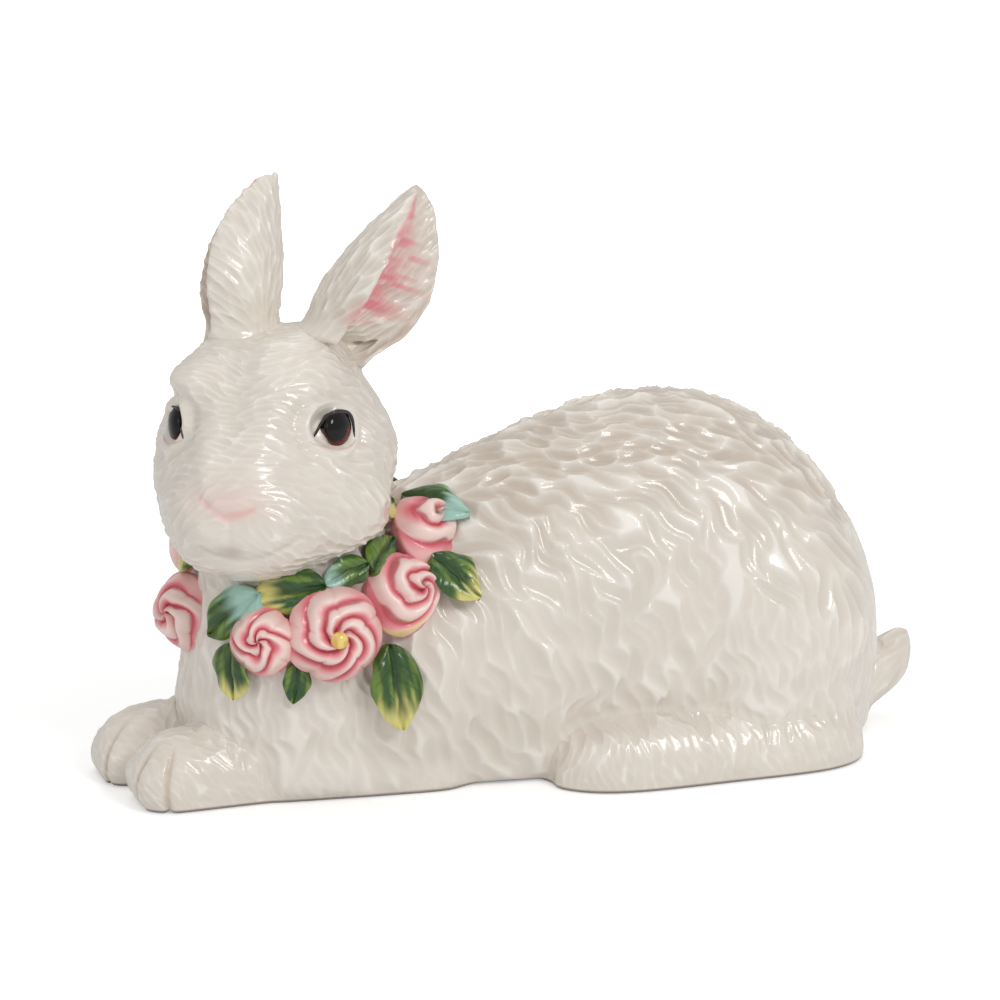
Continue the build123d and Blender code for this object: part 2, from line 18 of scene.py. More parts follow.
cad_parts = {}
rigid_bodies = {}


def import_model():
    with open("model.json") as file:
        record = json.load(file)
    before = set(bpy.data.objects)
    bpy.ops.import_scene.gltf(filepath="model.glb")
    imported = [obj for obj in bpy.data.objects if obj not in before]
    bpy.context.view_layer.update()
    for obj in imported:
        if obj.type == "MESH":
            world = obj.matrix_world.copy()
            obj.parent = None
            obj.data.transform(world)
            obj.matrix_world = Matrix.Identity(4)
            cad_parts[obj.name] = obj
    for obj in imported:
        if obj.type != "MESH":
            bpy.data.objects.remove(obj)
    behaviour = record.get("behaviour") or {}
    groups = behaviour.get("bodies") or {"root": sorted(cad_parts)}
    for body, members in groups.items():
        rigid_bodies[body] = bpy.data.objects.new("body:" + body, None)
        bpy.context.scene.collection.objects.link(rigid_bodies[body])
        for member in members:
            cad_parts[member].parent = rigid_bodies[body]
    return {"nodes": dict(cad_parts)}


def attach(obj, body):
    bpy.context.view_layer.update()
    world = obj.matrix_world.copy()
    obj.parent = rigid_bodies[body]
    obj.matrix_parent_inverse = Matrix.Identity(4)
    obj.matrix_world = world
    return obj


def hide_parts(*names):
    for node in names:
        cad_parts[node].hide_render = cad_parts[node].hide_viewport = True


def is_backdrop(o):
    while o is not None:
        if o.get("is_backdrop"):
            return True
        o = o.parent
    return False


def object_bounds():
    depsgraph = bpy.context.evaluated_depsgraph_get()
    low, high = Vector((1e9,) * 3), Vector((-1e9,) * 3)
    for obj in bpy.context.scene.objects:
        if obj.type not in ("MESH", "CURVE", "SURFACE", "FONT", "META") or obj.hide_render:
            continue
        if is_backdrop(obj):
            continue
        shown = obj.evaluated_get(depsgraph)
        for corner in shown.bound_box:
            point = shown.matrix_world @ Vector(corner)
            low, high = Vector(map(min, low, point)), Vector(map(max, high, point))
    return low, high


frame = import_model()
size_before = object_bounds()

MM = 0.001
VOXEL = 0.8  # step of the grid of the distance fields
BAND = 12  # steps on each side of a surface in which distances are known
FAR = np.float32(BAND * VOXEL)
LOW = np.array([-172.0, -82.0, -6.0])  # corners of the grid
HIGH = np.array([192.0, 80.0, 250.0])
SHAPE = tuple(int(n) for n in np.ceil((HIGH - LOW) / VOXEL))
CORNERS = list(itertools.product((0, 1), repeat=3))  # of one cell
CASTINGS = ["body", "head", "left_ear", "right_ear", "left_foreleg", "right_foreleg",
            "left_hind_foot", "right_hind_foot", "tail"]


def side_of(name):
    """1 for a piece on the animal's left, and -1 for one on its right."""
    return 1 if name.startswith("left") else -1


def kind_of(name):
    """The name of a piece without its side."""
    return name.split("_", 1)[-1]


def srgb(red, green, blue):
    """A colour given as it looks, turned into the light values that shaders use."""
    values = np.array([red, green, blue]) / 255
    return np.where(values <= 0.04045, values / 12.92, ((values + 0.055) / 1.055) ** 2.4)


def mix(first, second, share):
    """Colours between two, with a share of the second for each point."""
    return first + (second - first) * np.asarray(share)[:, None]


def smooth(low, high, value):
    """A soft step from 0 at low to 1 at high."""
    share = np.clip((value - low) / (high - low), 0, 1)
    return share * share * (3 - 2 * share)


def unit(vectors):
    """Vectors of length one."""
    return vectors / np.maximum(np.linalg.norm(vectors, axis=-1, keepdims=True), 1e-9)


# Noise

LATTICE_SIDE = 48
LATTICE_SHIFT = 17.31
LATTICES = [np.random.RandomState(seed).normal(size=(LATTICE_SIDE,) * 3).astype(np.float32)
            for seed in range(8)]


def noise(points, spacing, seed):
    """Smooth random values in space, about one bump for each spacing."""
    place = points / spacing + LATTICE_SHIFT * (seed + 1)
    cell = np.floor(place).astype(np.int64)
    share = place - cell
    share = share * share * share * (share * (6 * share - 15) + 10)
    ends = (cell % LATTICE_SIDE).T, ((cell + 1) % LATTICE_SIDE).T
    weights = (1 - share).T, share.T
    total = 0
    for a, b, c in CORNERS:
        corner = LATTICES[seed][ends[a][0], ends[b][1], ends[c][2]]
        total = total + corner * weights[a][0] * weights[b][1] * weights[c][2]
    return total


def grid_noise(x, y, z, spacing, seed):
    """Noise over a grid of places, in the shape of the grid."""
    x, y, z = np.broadcast_arrays(x, y, z)
    points = np.stack([x.ravel(), y.ravel(), z.ravel()], axis=1)
    return noise(points, spacing, seed).reshape(x.shape)


# Distance fields of the castings

def node_polygons(name):
    """A CAD node's points in millimetres, and its triangles."""
    mesh = frame["nodes"][name].data
    mesh.calc_loop_triangles()
    points = np.empty(len(mesh.vertices) * 3, np.float32)
    mesh.vertices.foreach_get("co", points)
    triangles = np.empty(len(mesh.loop_triangles) * 3, np.int32)
    mesh.loop_triangles.foreach_get("vertices", triangles)
    matrix = np.array(frame["nodes"][name].matrix_world)
    points = points.reshape(-1, 3) @ matrix[:3, :3].T + matrix[:3, 3]
    return points / MM, triangles.reshape(-1, 3)


def sample(values, points, low):
    """Values of a field at points, between its grid points; low is its first grid point."""
    place = np.clip((points - LOW) / VOXEL - low, 0, np.array(values.shape) - 1.001)
    cell = place.astype(int)
    share = place - cell
    total = 0
    for corner in CORNERS:
        weight = np.prod(np.where(corner, share, 1 - share), axis=1)
        total = total + weight * values[tuple((cell + corner).T)]
    return total


class Field:
    """Distances to one casting's surface in millimetres, in a box of the shared grid."""

    def __init__(self, name):
        points, triangles = node_polygons(name)
        local = ((points - LOW) / VOXEL).astype(np.float32)
        grid = openvdb.FloatGrid.createLevelSetFromPolygons(
            local, triangles=triangles.astype(np.uint32), halfWidth=BAND)
        self.low = np.maximum(np.floor(local.min(axis=0)).astype(int) - BAND, 0)
        high = np.minimum(np.ceil(local.max(axis=0)).astype(int) + BAND, SHAPE)
        values = np.empty(tuple(high - self.low), np.float32)
        grid.copyToArray(values, ijk=tuple(self.low.tolist()))
        self.box = tuple(slice(a, b) for a, b in zip(self.low, high))
        self.values = values * VOXEL

    def at(self, points):
        """Distances at points."""
        return sample(self.values, points, self.low)

    def places(self):
        """Where the points of the grid are."""
        steps = np.indices(self.values.shape).reshape(3, -1).T + self.low
        return steps * VOXEL + LOW


def soft_union(first, second, melt):
    """The union of two fields, with a fillet of about the melt length where they meet."""
    share = np.clip(0.5 + 0.5 * (second - first) / melt, 0, 1)
    return second + (first - second) * share - melt * share * (1 - share)


def blur(values, radius, rounds):
    """A soft blur of a field, radius in millimetres."""
    half = max(1, int(round(radius / VOXEL)))
    for turn in range(rounds):
        for axis in range(3):
            moved = np.moveaxis(values, axis, 0)
            padded = np.concatenate([moved[:1]] * (half + 1) + [moved] + [moved[-1:]] * half)
            total = np.cumsum(padded, axis=0, dtype=np.float64)
            moved = (total[2 * half + 1:] - total[:-2 * half - 1]) / (2 * half + 1)
            values = np.moveaxis(moved.astype(np.float32), 0, axis)
    return values


VENT_X = 31.0
VENT_RADIUS = 4.0
VENT_DEPTH = 5.5
VENT_SHUT = 10.0  # up to this height the hollow is shut off from the vent
VENT_MARGIN = 4.0


def vent_gap():
    """How far each column of the grid stands off the edge of the vent."""
    x = LOW[0] + VOXEL * np.arange(SHAPE[0], dtype=np.float32)[:, None] - VENT_X
    y = LOW[1] + VOXEL * np.arange(SHAPE[1], dtype=np.float32)[None, :]
    return np.sqrt(x * x + y * y) - VENT_RADIUS


def flood(out, free):
    """Spreads what is outside through the free cells along all axes, both ways."""
    for axis in range(3):
        a, b = np.moveaxis(out, axis, 0), np.moveaxis(free, axis, 0)
        for i in range(1, a.shape[0]):
            a[i] |= a[i - 1] & b[i]
        for i in range(a.shape[0] - 2, -1, -1):
            a[i] |= a[i + 1] & b[i]


def fill_inside(values):
    """Makes every hollow that the outside can't reach solid, on a grid half as fine."""
    step, clear, sweeps = 2, 0.4, 4
    free = values[::step, ::step, ::step] > clear
    shut = int((VENT_SHUT - LOW[2]) / VOXEL / step)
    free[:, :, :shut] &= vent_gap()[::step, ::step, None] >= VENT_MARGIN
    out = np.zeros_like(free)
    out[0] = out[-1] = True
    out[:, 0] = out[:, -1] = True
    out[:, :, 0] = out[:, :, -1] = True
    for sweep in range(sweeps):
        flood(out, free)
    inside = ~out & free
    for axis in range(3):
        grown = inside.copy()
        a, b = np.moveaxis(grown, axis, 0), np.moveaxis(inside, axis, 0)
        a[1:] |= b[:-1]
        a[:-1] |= b[1:]
        inside = grown
    big = inside.repeat(step, 0).repeat(step, 1).repeat(step, 2)
    big = big[:values.shape[0], :values.shape[1], :values.shape[2]]
    pads = [(0, n - m) for n, m in zip(values.shape, big.shape)]
    return np.where(np.pad(big, pads), -FAR, values)


fields = {name: Field(name) for name in CASTINGS}

# The face looks this way, and its places are measured from between the eyes

FACE_YAW = math.radians(-119)
FORWARD = np.array([math.cos(FACE_YAW), math.sin(FACE_YAW), 0])
LEFTWARD = np.array([-FORWARD[1], FORWARD[0], 0])
UPWARD = np.array([0, 0, 1.0])
EYES = np.array([-108.8, -32.0, 148.8])

EAR_LENGTH = 70.0
EAR_HALF_WIDTH = 19.0
EAR_ROOT_SIDE = {1: 23.5, -1: -15.0}
EAR_ROOT_UP, EAR_ROOT_BACK = 26.0, 28.0
EAR_LEAN_BACK = math.radians(19)
EAR_LEAN_LEFT = {1: math.radians(27), -1: math.radians(9)}
EAR_OPEN = math.radians(70)


def ear_frame(side):
    """The root of an ear, its ways along, across, and out of the scoop."""
    root = (EYES + EAR_ROOT_SIDE[side] * LEFTWARD - EAR_ROOT_BACK * FORWARD
            + EAR_ROOT_UP * UPWARD)
    lean = EAR_LEAN_LEFT[side]
    along = LEFTWARD * math.sin(lean) + UPWARD * math.cos(lean)
    along = unit(along * math.cos(EAR_LEAN_BACK) - FORWARD * math.sin(EAR_LEAN_BACK))
    yaw = FACE_YAW + side * EAR_OPEN
    across = unit(np.cross(np.array([math.cos(yaw), math.sin(yaw), 0]), along))
    return root, along, across, np.cross(along, across)


EAR_CELL = 0.8
EAR_HOLLOW = 5.5
EAR_FILL_START = 11.0
EAR_FILL_TAPER = 0.8
EAR_SKIN = 1.5


def level_line(row):
    """A shallow hollow between the two ends of a row, with nothing where the row is empty."""
    full = np.flatnonzero(np.isfinite(row))
    if len(full) < 4:
        return np.full(len(row), np.nan)
    steps = np.arange(len(row))
    ends = [full[1], full[-2]]
    share = np.clip((steps - ends[0]) / (ends[1] - ends[0]), 0, 1)
    level = np.interp(steps, ends, row[ends]) - EAR_HOLLOW * 4 * share * (1 - share)
    level[:full[0]] = np.nan
    level[full[-1] + 1:] = np.nan
    return level


def spread_level(level):
    """Soft values everywhere, taken from the nearest known ones."""
    known = np.isfinite(level)
    total, weight = np.where(known, level, 0.0), known.astype(float)
    for turn in range(6):
        for axis in (0, 1):
            for grid in (total, weight):
                grid += np.roll(grid, 1, axis) + np.roll(grid, -1, axis)
    return total / np.maximum(weight, 1e-9)


def fill_ear(name):
    """Fills the scoop of an ear with clay up to a shallow hollow between its rims."""
    field = fields[name]
    root, along, across, opening = ear_frame(side_of(name))
    u = np.arange(-4.0, EAR_LENGTH + 6.0, EAR_CELL)
    v = np.arange(-26.0, 26.0, EAR_CELL)
    w = np.arange(-24.0, 24.0, EAR_CELL)
    grid_u, grid_v, grid_w = np.meshgrid(u, v, w, indexing="ij")
    places = (root + grid_u.reshape(-1, 1) * along + grid_v.reshape(-1, 1) * across
              + grid_w.reshape(-1, 1) * opening)
    inside = (field.at(places) < 0).reshape(grid_u.shape)
    some = inside.any(axis=2)
    top = np.where(some, w[len(w) - 1 - np.argmax(inside[:, :, ::-1], axis=2)], np.nan)
    level = spread_level(np.array([level_line(row) for row in top]))
    base = spread_level(np.where(some, top - EAR_SKIN, np.nan))
    away = field.places() - root
    row = np.clip(((away @ along) - u[0]) / EAR_CELL, 0, len(u) - 1.001)
    column = np.clip(((away @ across) - v[0]) / EAR_CELL, 0, len(v) - 1.001)
    i, j = row.astype(int), column.astype(int)
    a, b = row - i, column - j
    above, below = (
        away @ opening - ((1 - a) * (1 - b) * table[i, j] + a * (1 - b) * table[i + 1, j]
                          + (1 - a) * b * table[i, j + 1] + a * b * table[i + 1, j + 1])
        for table in (level, base))
    taper = EAR_FILL_TAPER * np.maximum(EAR_FILL_START - away @ along, 0)
    clay = np.maximum(above + taper, -below)
    solid = some[np.round(row).astype(int), np.round(column).astype(int)]
    clay = np.where(solid, clay, FAR).reshape(field.values.shape)
    field.values = blur(np.minimum(field.values, clay.astype(np.float32)), 0.8, 1)


WALL_HALF = 2.5


def fill_hollow():
    """Fills the hollow that body and head share, each with the part nearer to its wall."""
    pair = np.full((2,) + SHAPE, FAR, np.float32)
    body, head = pair
    body[fields["body"].box] = fields["body"].values
    head[fields["head"].box] = fields["head"].values
    for name in ("left_eye", "right_eye"):  # the eyes close their sockets
        eye = Field(name)
        head[eye.box] = np.minimum(head[eye.box], eye.values)
    fields["head"].values = head[fields["head"].box]
    either = pair.min(axis=0)
    hollow = fill_inside(either) < either - 0.01
    near_body = body <= head
    for name, mine in (("body", near_body), ("head", ~near_body)):
        field = fields[name]
        filled = np.where((hollow & mine)[field.box], -FAR, field.values)
        field.values = np.maximum(filled, -WALL_HALF)


def add_mass(start, start_radius, end, end_radius):
    """Adds a tapered rod of clay to both sides of the body."""
    field = fields["body"]
    places = field.places().astype(np.float32)
    places[:, 1] = np.abs(places[:, 1])
    start, way = np.array(start), np.array(end) - np.array(start)
    share = np.clip((places - start) @ way / (way @ way), 0, 1)
    gap = np.linalg.norm(places - start - share[:, None] * way, axis=1)
    rod = gap - start_radius - (end_radius - start_radius) * share
    rod = rod.reshape(field.values.shape).astype(np.float32)
    field.values = soft_union(field.values, rod, 5.0)


MELT = {"body": 0.0, "head": 8.0, "ear": 6.0, "foreleg": 5.0, "hind_foot": 4.0, "tail": 5.0}


def melted_whole():
    """All castings melted together, flat underneath, with the vent in the floor."""
    for name, radius in (("body", 2.4), ("head", 1.6)):
        fields[name].values = blur(fields[name].values, radius, 2)
    melted = np.full(SHAPE, FAR, np.float32)
    for name in CASTINGS:
        box, values, melt = fields[name].box, fields[name].values, MELT[kind_of(name)]
        if melt:
            melted[box] = soft_union(melted[box], values, melt)
        else:
            melted[box] = np.minimum(melted[box], values)
    melted = blur(melted, 0.8, 1)
    level = (LOW[2] + VOXEL * np.arange(SHAPE[2], dtype=np.float32))[None, None, :]
    bore = np.maximum(vent_gap()[:, :, None], level - VENT_DEPTH)
    return np.maximum(np.maximum(melted, -level), -bore)


def nearest_two():
    """Distances to the nearest and to the second nearest casting at each place."""
    first = np.full(SHAPE, FAR, np.float32)
    second = np.full(SHAPE, FAR, np.float32)
    for name in CASTINGS:
        box, mine = fields[name].box, fields[name].values
        second[box] = np.minimum(second[box], np.maximum(first[box], mine))
        first[box] = np.minimum(first[box], mine)
    return first, second


fill_ear("left_ear")
fill_ear("right_ear")
fill_hollow()
add_mass((-96.0, 31.0, 12.0), 12.0, (-38.0, 33.5, 3.5), 10.0)  # the forearms at the table
add_mass((88.0, 55.0, 25.0), 11.0, (126.0, 49.0, 24.0), 10.5)  # the low haunches
whole = melted_whole()
nearest, second = nearest_two()

OVERLAP = 1.2  # how far a casting reaches under its neighbours, and how deep it sinks there
SINK = 0.5


def outward(points):
    """The way out of the melted whole at each point."""
    grads = []
    for step in 1.2 * VOXEL * np.eye(3):
        grads.append(sample(whole, points + step, 0) - sample(whole, points - step, 0))
    return unit(np.stack(grads, axis=1))


def casting_surface(name):
    """Points and faces of one casting: its share of the whole, sunk under its neighbours."""
    field = fields[name]
    box, mine = field.box, field.values
    beyond = mine - np.where(mine <= nearest[box], second[box], nearest[box])
    values = np.maximum(whole[box] + SINK * smooth(0, OVERLAP, beyond), beyond - OVERLAP)
    values = np.clip(values / VOXEL, -3, 3).astype(np.float32)
    grid = openvdb.FloatGrid(3.0)
    grid.copyFromArray(values, ijk=tuple(field.low.tolist()), tolerance=0.0)
    points, quads = grid.convertToQuads(isovalue=0.0)
    return points * VOXEL + LOW, quads[:, ::-1].astype(np.int64)


def make_object(name, points, faces, colours):
    """A mesh object from points in millimetres, with a colour for each point."""
    mesh = bpy.data.meshes.new(name)
    faces = faces.tolist() if isinstance(faces, np.ndarray) else faces
    mesh.from_pydata((points * MM).tolist(), [], faces)
    mesh.validate()
    layer = mesh.color_attributes.new("paint", "FLOAT_COLOR", "POINT")
    full = np.ones((len(points), 4), np.float32)
    full[:, :3] = colours
    layer.data.foreach_set("color", full.ravel())
    mesh.polygons.foreach_set("use_smooth", [True] * len(mesh.polygons))
    mesh.update()
    thing = bpy.data.objects.new(name, mesh)
    bpy.context.scene.collection.objects.link(thing)
    return thing


def weld_smooth(points, quads, rounds):
    """Light smoothing along the surface, like the rounding of thick glaze."""
    pairs = np.concatenate([quads[:, [i, (i + 1) % 4]] for i in range(4)])
    pairs = np.concatenate([pairs, pairs[:, ::-1]])
    counts = np.bincount(pairs[:, 0], minlength=len(points))[:, None]
    for turn in range(rounds):
        total = np.stack([np.bincount(pairs[:, 0], points[pairs[:, 1], k], len(points))
                          for k in range(3)], axis=1)
        points = points + (total / np.maximum(counts, 1) - points) * 0.5
    return points


# Fur

def face_place(points):
    """Points as seen from the face: to its left, up, and forward of the eyes."""
    away = points - EYES
    return away @ LEFTWARD, away[:, 2], away @ FORWARD


def flow_body(points):
    """The hair of the body lies back along the spine and turns down on the flanks."""
    x, y, z = points.T
    share = spine_share(points)
    along = 0.30 + 0.9 * smooth(0.5, 1.0, share)
    along = along * (0.35 + 0.65 * smooth(-120, -40, x)) * (1 - 0.55 * smooth(110, 165, x))
    down = -1.0 + 0.62 * smooth(0.62, 1.0, share)
    spread = 0.35 * np.sign(y) * smooth(0.8, 1.0, share)
    return np.stack([along, spread, down], axis=1)


SPINE_X = [-130, -100, -33, 0, 60, 112, 154, 168]
SPINE_Z = [95, 100, 116, 131, 147, 133, 80, 40]


def spine_share(points):
    """Height of points as a share of the height of the spine above them."""
    return np.clip(points[:, 2] / np.interp(points[:, 0], SPINE_X, SPINE_Z), 0, 1.1)


HEAD_HAIR_UP = [-50.0, -22.0, 4.0, 24.0, 48.0]
HEAD_HAIR_RISE = [-1.2, -0.75, -0.30, 0.10, 0.60]


def flow_head(points):
    """The hair of the head lies outward: level on the forehead, down on the cheeks."""
    left, up, forward = face_place(points)
    sideways = np.tanh(left / 13.0)
    rise = np.interp(up, HEAD_HAIR_UP, HEAD_HAIR_RISE)
    tilt = rise[:, None] * UPWARD - 0.7 * FORWARD
    return LEFTWARD + sideways[:, None] * tilt


FORELEG_WAY = np.array([0.75, 0.0, -0.7])
TAIL_WAY = np.array([0.7, 0.0, 0.7])


def flow_foreleg(points):
    """The hair of a foreleg lies back and down."""
    return np.tile(FORELEG_WAY, (len(points), 1))


def flow_hind_foot(points):
    """The hair of a hind foot lies along its top and down its side."""
    level = smooth(20, 34, points[:, 2])
    return np.stack([0.25 + 0.8 * level, 0 * level, -1.0 + 0.9 * level], axis=1)


def flow_tail(points):
    """The hair of the tail lies up along it."""
    return np.tile(TAIL_WAY, (len(points), 1))


def flow_ear(points):
    """The hair of an ear lies up and away from its middle."""
    left, up, forward = face_place(points)
    side = np.where(left > 4, 1.0, -1.0)[:, None]
    return 0.62 * UPWARD - 0.50 * FORWARD + 0.85 * side * LEFTWARD


WAVE_LENGTH = 20.0
WAVE_WAY = unit(np.array([0.55, 0.0, -0.83]))
WAVE_SWING = 0.50
STROKE_STEP = 1.5  # along a stroke
CELL_SIZE = 6.0  # cubes in which points are looked up
STROKE_LEAN = 0.22  # how much wider a stroke is on one side
STROKE_APART_SHARES = (0.46, 0.80)  # of its length and width, kept clear of others


def sway(points):
    """How far the hair swings aside, in waves that neighbouring locks share."""
    phase = 2 * math.pi * (points @ WAVE_WAY) / WAVE_LENGTH + 1.7 * noise(points, 26.0, 6)
    lively = 0.75 + 0.35 * noise(points, 30.0, 5)
    return WAVE_SWING * lively * np.sin(phase) + 0.26 * noise(points, 10.0, 7)


def tangent(flow, points, normals):
    """The way of the hair at points, laid on the surface."""
    heading = flow(points)
    return unit(heading - normals * np.sum(heading * normals, axis=1)[:, None])


def body_grain(points):
    """How coarse and how deep the carving of the body is, place by place."""
    x, y, z = points.T
    share = spine_share(points)
    chest = smooth(-62, -84, x)
    low_haunch = smooth(50, 80, x) * smooth(0.60, 0.42, share)
    rump = smooth(128, 146, x)
    top = smooth(0.80, 0.92, share)
    calm = np.maximum(np.maximum(chest, low_haunch), rump)
    size = 1.0 - 0.34 * calm - 0.10 * top
    long = (1.0 - 0.38 * top) * (1.0 - 0.42 * calm)
    deep = (1.0 - 0.50 * calm) * (0.6 + 0.4 * smooth(8, 26, z)) * (1 + 0.15 * top)
    return size, long, deep


def even_grain(points):
    """The same carving everywhere."""
    ones = np.ones(len(points))
    return ones, ones, ones


def spread_places(spots, normals, flow, grain, spacing, length):
    """Those places that keep their distance, which is longer along the hair than across."""
    ways = tangent(flow, spots, normals)
    size, long, deep = grain(spots)
    reach = STROKE_APART_SHARES[0] * length * long
    gap = STROKE_APART_SHARES[1] * spacing * size
    corner = np.floor((spots - spots.min(axis=0)) / reach.max()).astype(int)
    cubes = {}
    order = []
    for index in range(len(spots)):
        i, j, k = corner[index]
        close = [other for a, b, c in itertools.product((-1, 0, 1), repeat=3)
                 for other in cubes.get((i + a, j + b, k + c), ())]
        if close:
            away = spots[close] - spots[index]
            along = away @ ways[index]
            across = np.sum(away * away, axis=1) - along * along
            if np.min((along / reach[index]) ** 2 + across / gap[index] ** 2) < 1:
                continue
        cubes.setdefault((i, j, k), []).append(index)
        order.append(index)
    return spots[order], size[order], long[order], deep[order]


def follow_hair(spots, flow, length, wander):
    """Wavy lines on the surface through the places, following the hair both ways."""
    steps = int(math.ceil(0.5 * length / STROKE_STEP))
    sides = []
    for way in (1, -1):
        place, side = spots.copy(), []
        for step in range(steps):
            normals = outward(place)
            heading = tangent(flow, place, normals)
            across = np.cross(normals, heading)
            swing = (wander * sway(place))[:, None]
            place = place + way * STROKE_STEP * (heading * np.cos(swing) + across * np.sin(swing))
            place = place - outward(place) * sample(whole, place, 0)[:, None]
            side.append(place)
        sides.append(side)
    return np.stack(sides[1][::-1] + [spots] + sides[0], axis=1)


class Cells:
    """Points sorted into cubes, so that those near a place are found quickly."""

    def __init__(self, points, size):
        self.size = size
        self.low = points.min(axis=0)
        cells = ((points - self.low) / size).astype(int)
        self.counts = cells.max(axis=0) + 1
        keys = (cells[:, 0] * self.counts[1] + cells[:, 1]) * self.counts[2] + cells[:, 2]
        self.order = np.argsort(keys, kind="stable")
        ends = np.arange(np.prod(self.counts) + 1)
        self.starts = np.searchsorted(keys[self.order], ends)

    def near(self, low, high):
        """Numbers of the points in the cubes between two corners."""
        first = np.clip((low - self.low) // self.size, 0, self.counts - 1).astype(int)
        last = np.clip((high - self.low) // self.size, 0, self.counts - 1).astype(int)
        found = []
        for i in range(first[0], last[0] + 1):
            for j in range(first[1], last[1] + 1):
                row = (i * self.counts[1] + j) * self.counts[2]
                begin, end = self.starts[row + first[2]], self.starts[row + last[2] + 1]
                found.append(self.order[begin:end])
        return np.concatenate(found)


def gouge(points, normals, cells, lines, halves, widths, depths):
    """Depth carved at each point by tapering hollow strokes; crests stay between them."""
    carved = np.zeros(len(points))
    middle = lines.shape[1] // 2
    for line, half, width, depth in zip(lines, halves, widths, depths):
        steps = int(math.ceil(half / STROKE_STEP))
        line = line[max(middle - steps, 0):middle + steps + 1]
        found = cells.near(line.min(axis=0) - width, line.max(axis=0) + width)
        starts, ways = line[:-1], line[1:] - line[:-1]
        away = points[found][:, None] - starts
        share = np.sum(away * ways, axis=2) / np.sum(ways * ways, axis=1)
        share = np.clip(share, 0, 1)
        gap = away - share[..., None] * ways
        square = np.sum(gap * gap, axis=2)
        best = np.argmin(square, axis=1)
        rows = np.arange(len(found))
        along = (best + share[rows, best]) * STROKE_STEP - 0.5 * STROKE_STEP * len(starts)
        side = np.sum(np.cross(normals[found], ways[best]) * gap[rows, best], axis=1)
        reach = np.clip(1 - (along / half) ** 2, 0, 1)
        wide = width * reach ** 0.6 * (1 + STROKE_LEAN * np.tanh(side))
        hollow = np.clip(1 - square[rows, best] / np.maximum(wide, 0.05) ** 2, 0, 1)
        carved[found] = np.maximum(carved[found], depth * reach ** 0.7 * hollow)
    return carved


Fur = namedtuple("Fur", "flow grain spacing length depth wander paint")
# paint: how strongly the hollows are painted beige, for glaze pooling and painted shade
FUR = {
    "body": Fur(flow_body, body_grain, 5.4, 34.0, 2.7, 1.0, 0.34),
    "head": Fur(flow_head, even_grain, 2.6, 13.0, 1.0, 0.8, 0.18),
    "ear": Fur(flow_ear, even_grain, 2.9, 15.0, 1.2, 0.35, 0.42),
    "foreleg": Fur(flow_foreleg, even_grain, 2.9, 12.0, 0.55, 0.7, 0.14),
    "hind_foot": Fur(flow_hind_foot, even_grain, 2.9, 12.0, 0.55, 0.7, 0.14),
    "tail": Fur(flow_tail, even_grain, 2.9, 18.0, 0.8, 0.4, 0.25),
}
LENGTH_SHARES = (0.75, 1.1)  # how much single strokes differ
WIDTH_SHARES = (0.85, 1.15)
DEPTH_SHARES = (0.6, 1.0)
TRIES = 7  # places tried for each that is kept, roughly


def plan_strokes(seed, name, points, quads, normals, area):
    """Where the strokes of a casting run, and how long, wide and deep they are."""
    fur = FUR[kind_of(name)]
    random = np.random.RandomState(seed)
    tries = int(TRIES * area / (0.5 * fur.spacing * fur.length))
    chosen = random.permutation(len(points))[:tries]
    spots, size, long, deep = spread_places(
        points[chosen], normals[chosen], fur.flow, fur.grain, fur.spacing, fur.length)
    lines = follow_hair(spots, fur.flow, 1.1 * fur.length, fur.wander)
    halves = 0.5 * fur.length * long * random.uniform(*LENGTH_SHARES, len(spots))
    widths = STROKE_APART_SHARES[1] * fur.spacing * size
    widths = widths * random.uniform(*WIDTH_SHARES, len(spots))
    depths = fur.depth * deep * random.uniform(*DEPTH_SHARES, len(spots))
    return lines, halves, widths, depths


SEAM_REACH = 3.0  # how far strokes and paint reach over a seam


def carve(name, points, normals, strokes):
    """Depth of the carved hair in millimetres, from a casting's strokes and its neighbours'."""
    cells = Cells(points, CELL_SIZE)
    carved = np.zeros(len(points))
    for owner, (lines, halves, widths, depths) in strokes.items():
        if owner != name:
            gaps = np.abs(fields[name].at(lines.reshape(-1, 3)))
            close = gaps.reshape(lines.shape[:2]).min(axis=1) < SEAM_REACH
            lines, halves, widths, depths = (
                part[close] for part in (lines, halves, widths, depths))
        if len(lines):
            carved = np.maximum(
                carved, gouge(points, normals, cells, lines, halves, widths, depths))
    return carved


def fur_values(points):
    """Depth of the fur at points, and how strongly its hollows are painted beige for glaze pooling and
    painted shade, blended where castings meet.
    """
    weights, depths, paints = 0.0, 0.0, 0.0
    for name in CASTINGS:
        gap = np.maximum(fields[name].at(points), 0)
        weight = np.exp(-(gap / SEAM_REACH) ** 2) + 1e-9
        weights = weights + weight
        depths = depths + weight * FUR[kind_of(name)].depth
        paints = paints + weight * FUR[kind_of(name)].paint
    return depths / weights, paints / weights


def refine(points, quads):
    """The same skin with every quad split into four."""
    sides = np.concatenate([quads[:, [i, (i + 1) % 4]] for i in range(4)])
    pairs, where = np.unique(np.sort(sides, axis=1), axis=0, return_inverse=True)
    where = where.reshape(4, -1) + len(points)
    centres = np.arange(len(quads)) + len(points) + len(pairs)
    middles = points[pairs].mean(axis=1)
    points = np.concatenate([points, middles, points[quads].mean(axis=1)])
    faces = [np.stack([quads[:, i], where[i], centres, where[i - 1]], axis=1) for i in range(4)]
    return points, np.concatenate(faces)


def dress(thing, node, material):
    """Puts a finished piece on its CAD node."""
    thing.data.materials.clear()
    thing.data.materials.append(material)
    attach(thing, "root")
    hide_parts(node)


# Materials

def node_tree(owner):
    """The node tree of a material or world."""
    owner.use_nodes = True
    return owner.node_tree


def fill_sockets(tree, node, values):
    """Sets the inputs of a node: another node's output is linked, and the rest are values."""
    for key, value in values.items():
        if isinstance(value, bpy.types.NodeSocket):
            tree.links.new(value, node.inputs[key])
        else:
            node.inputs[key].default_value = value


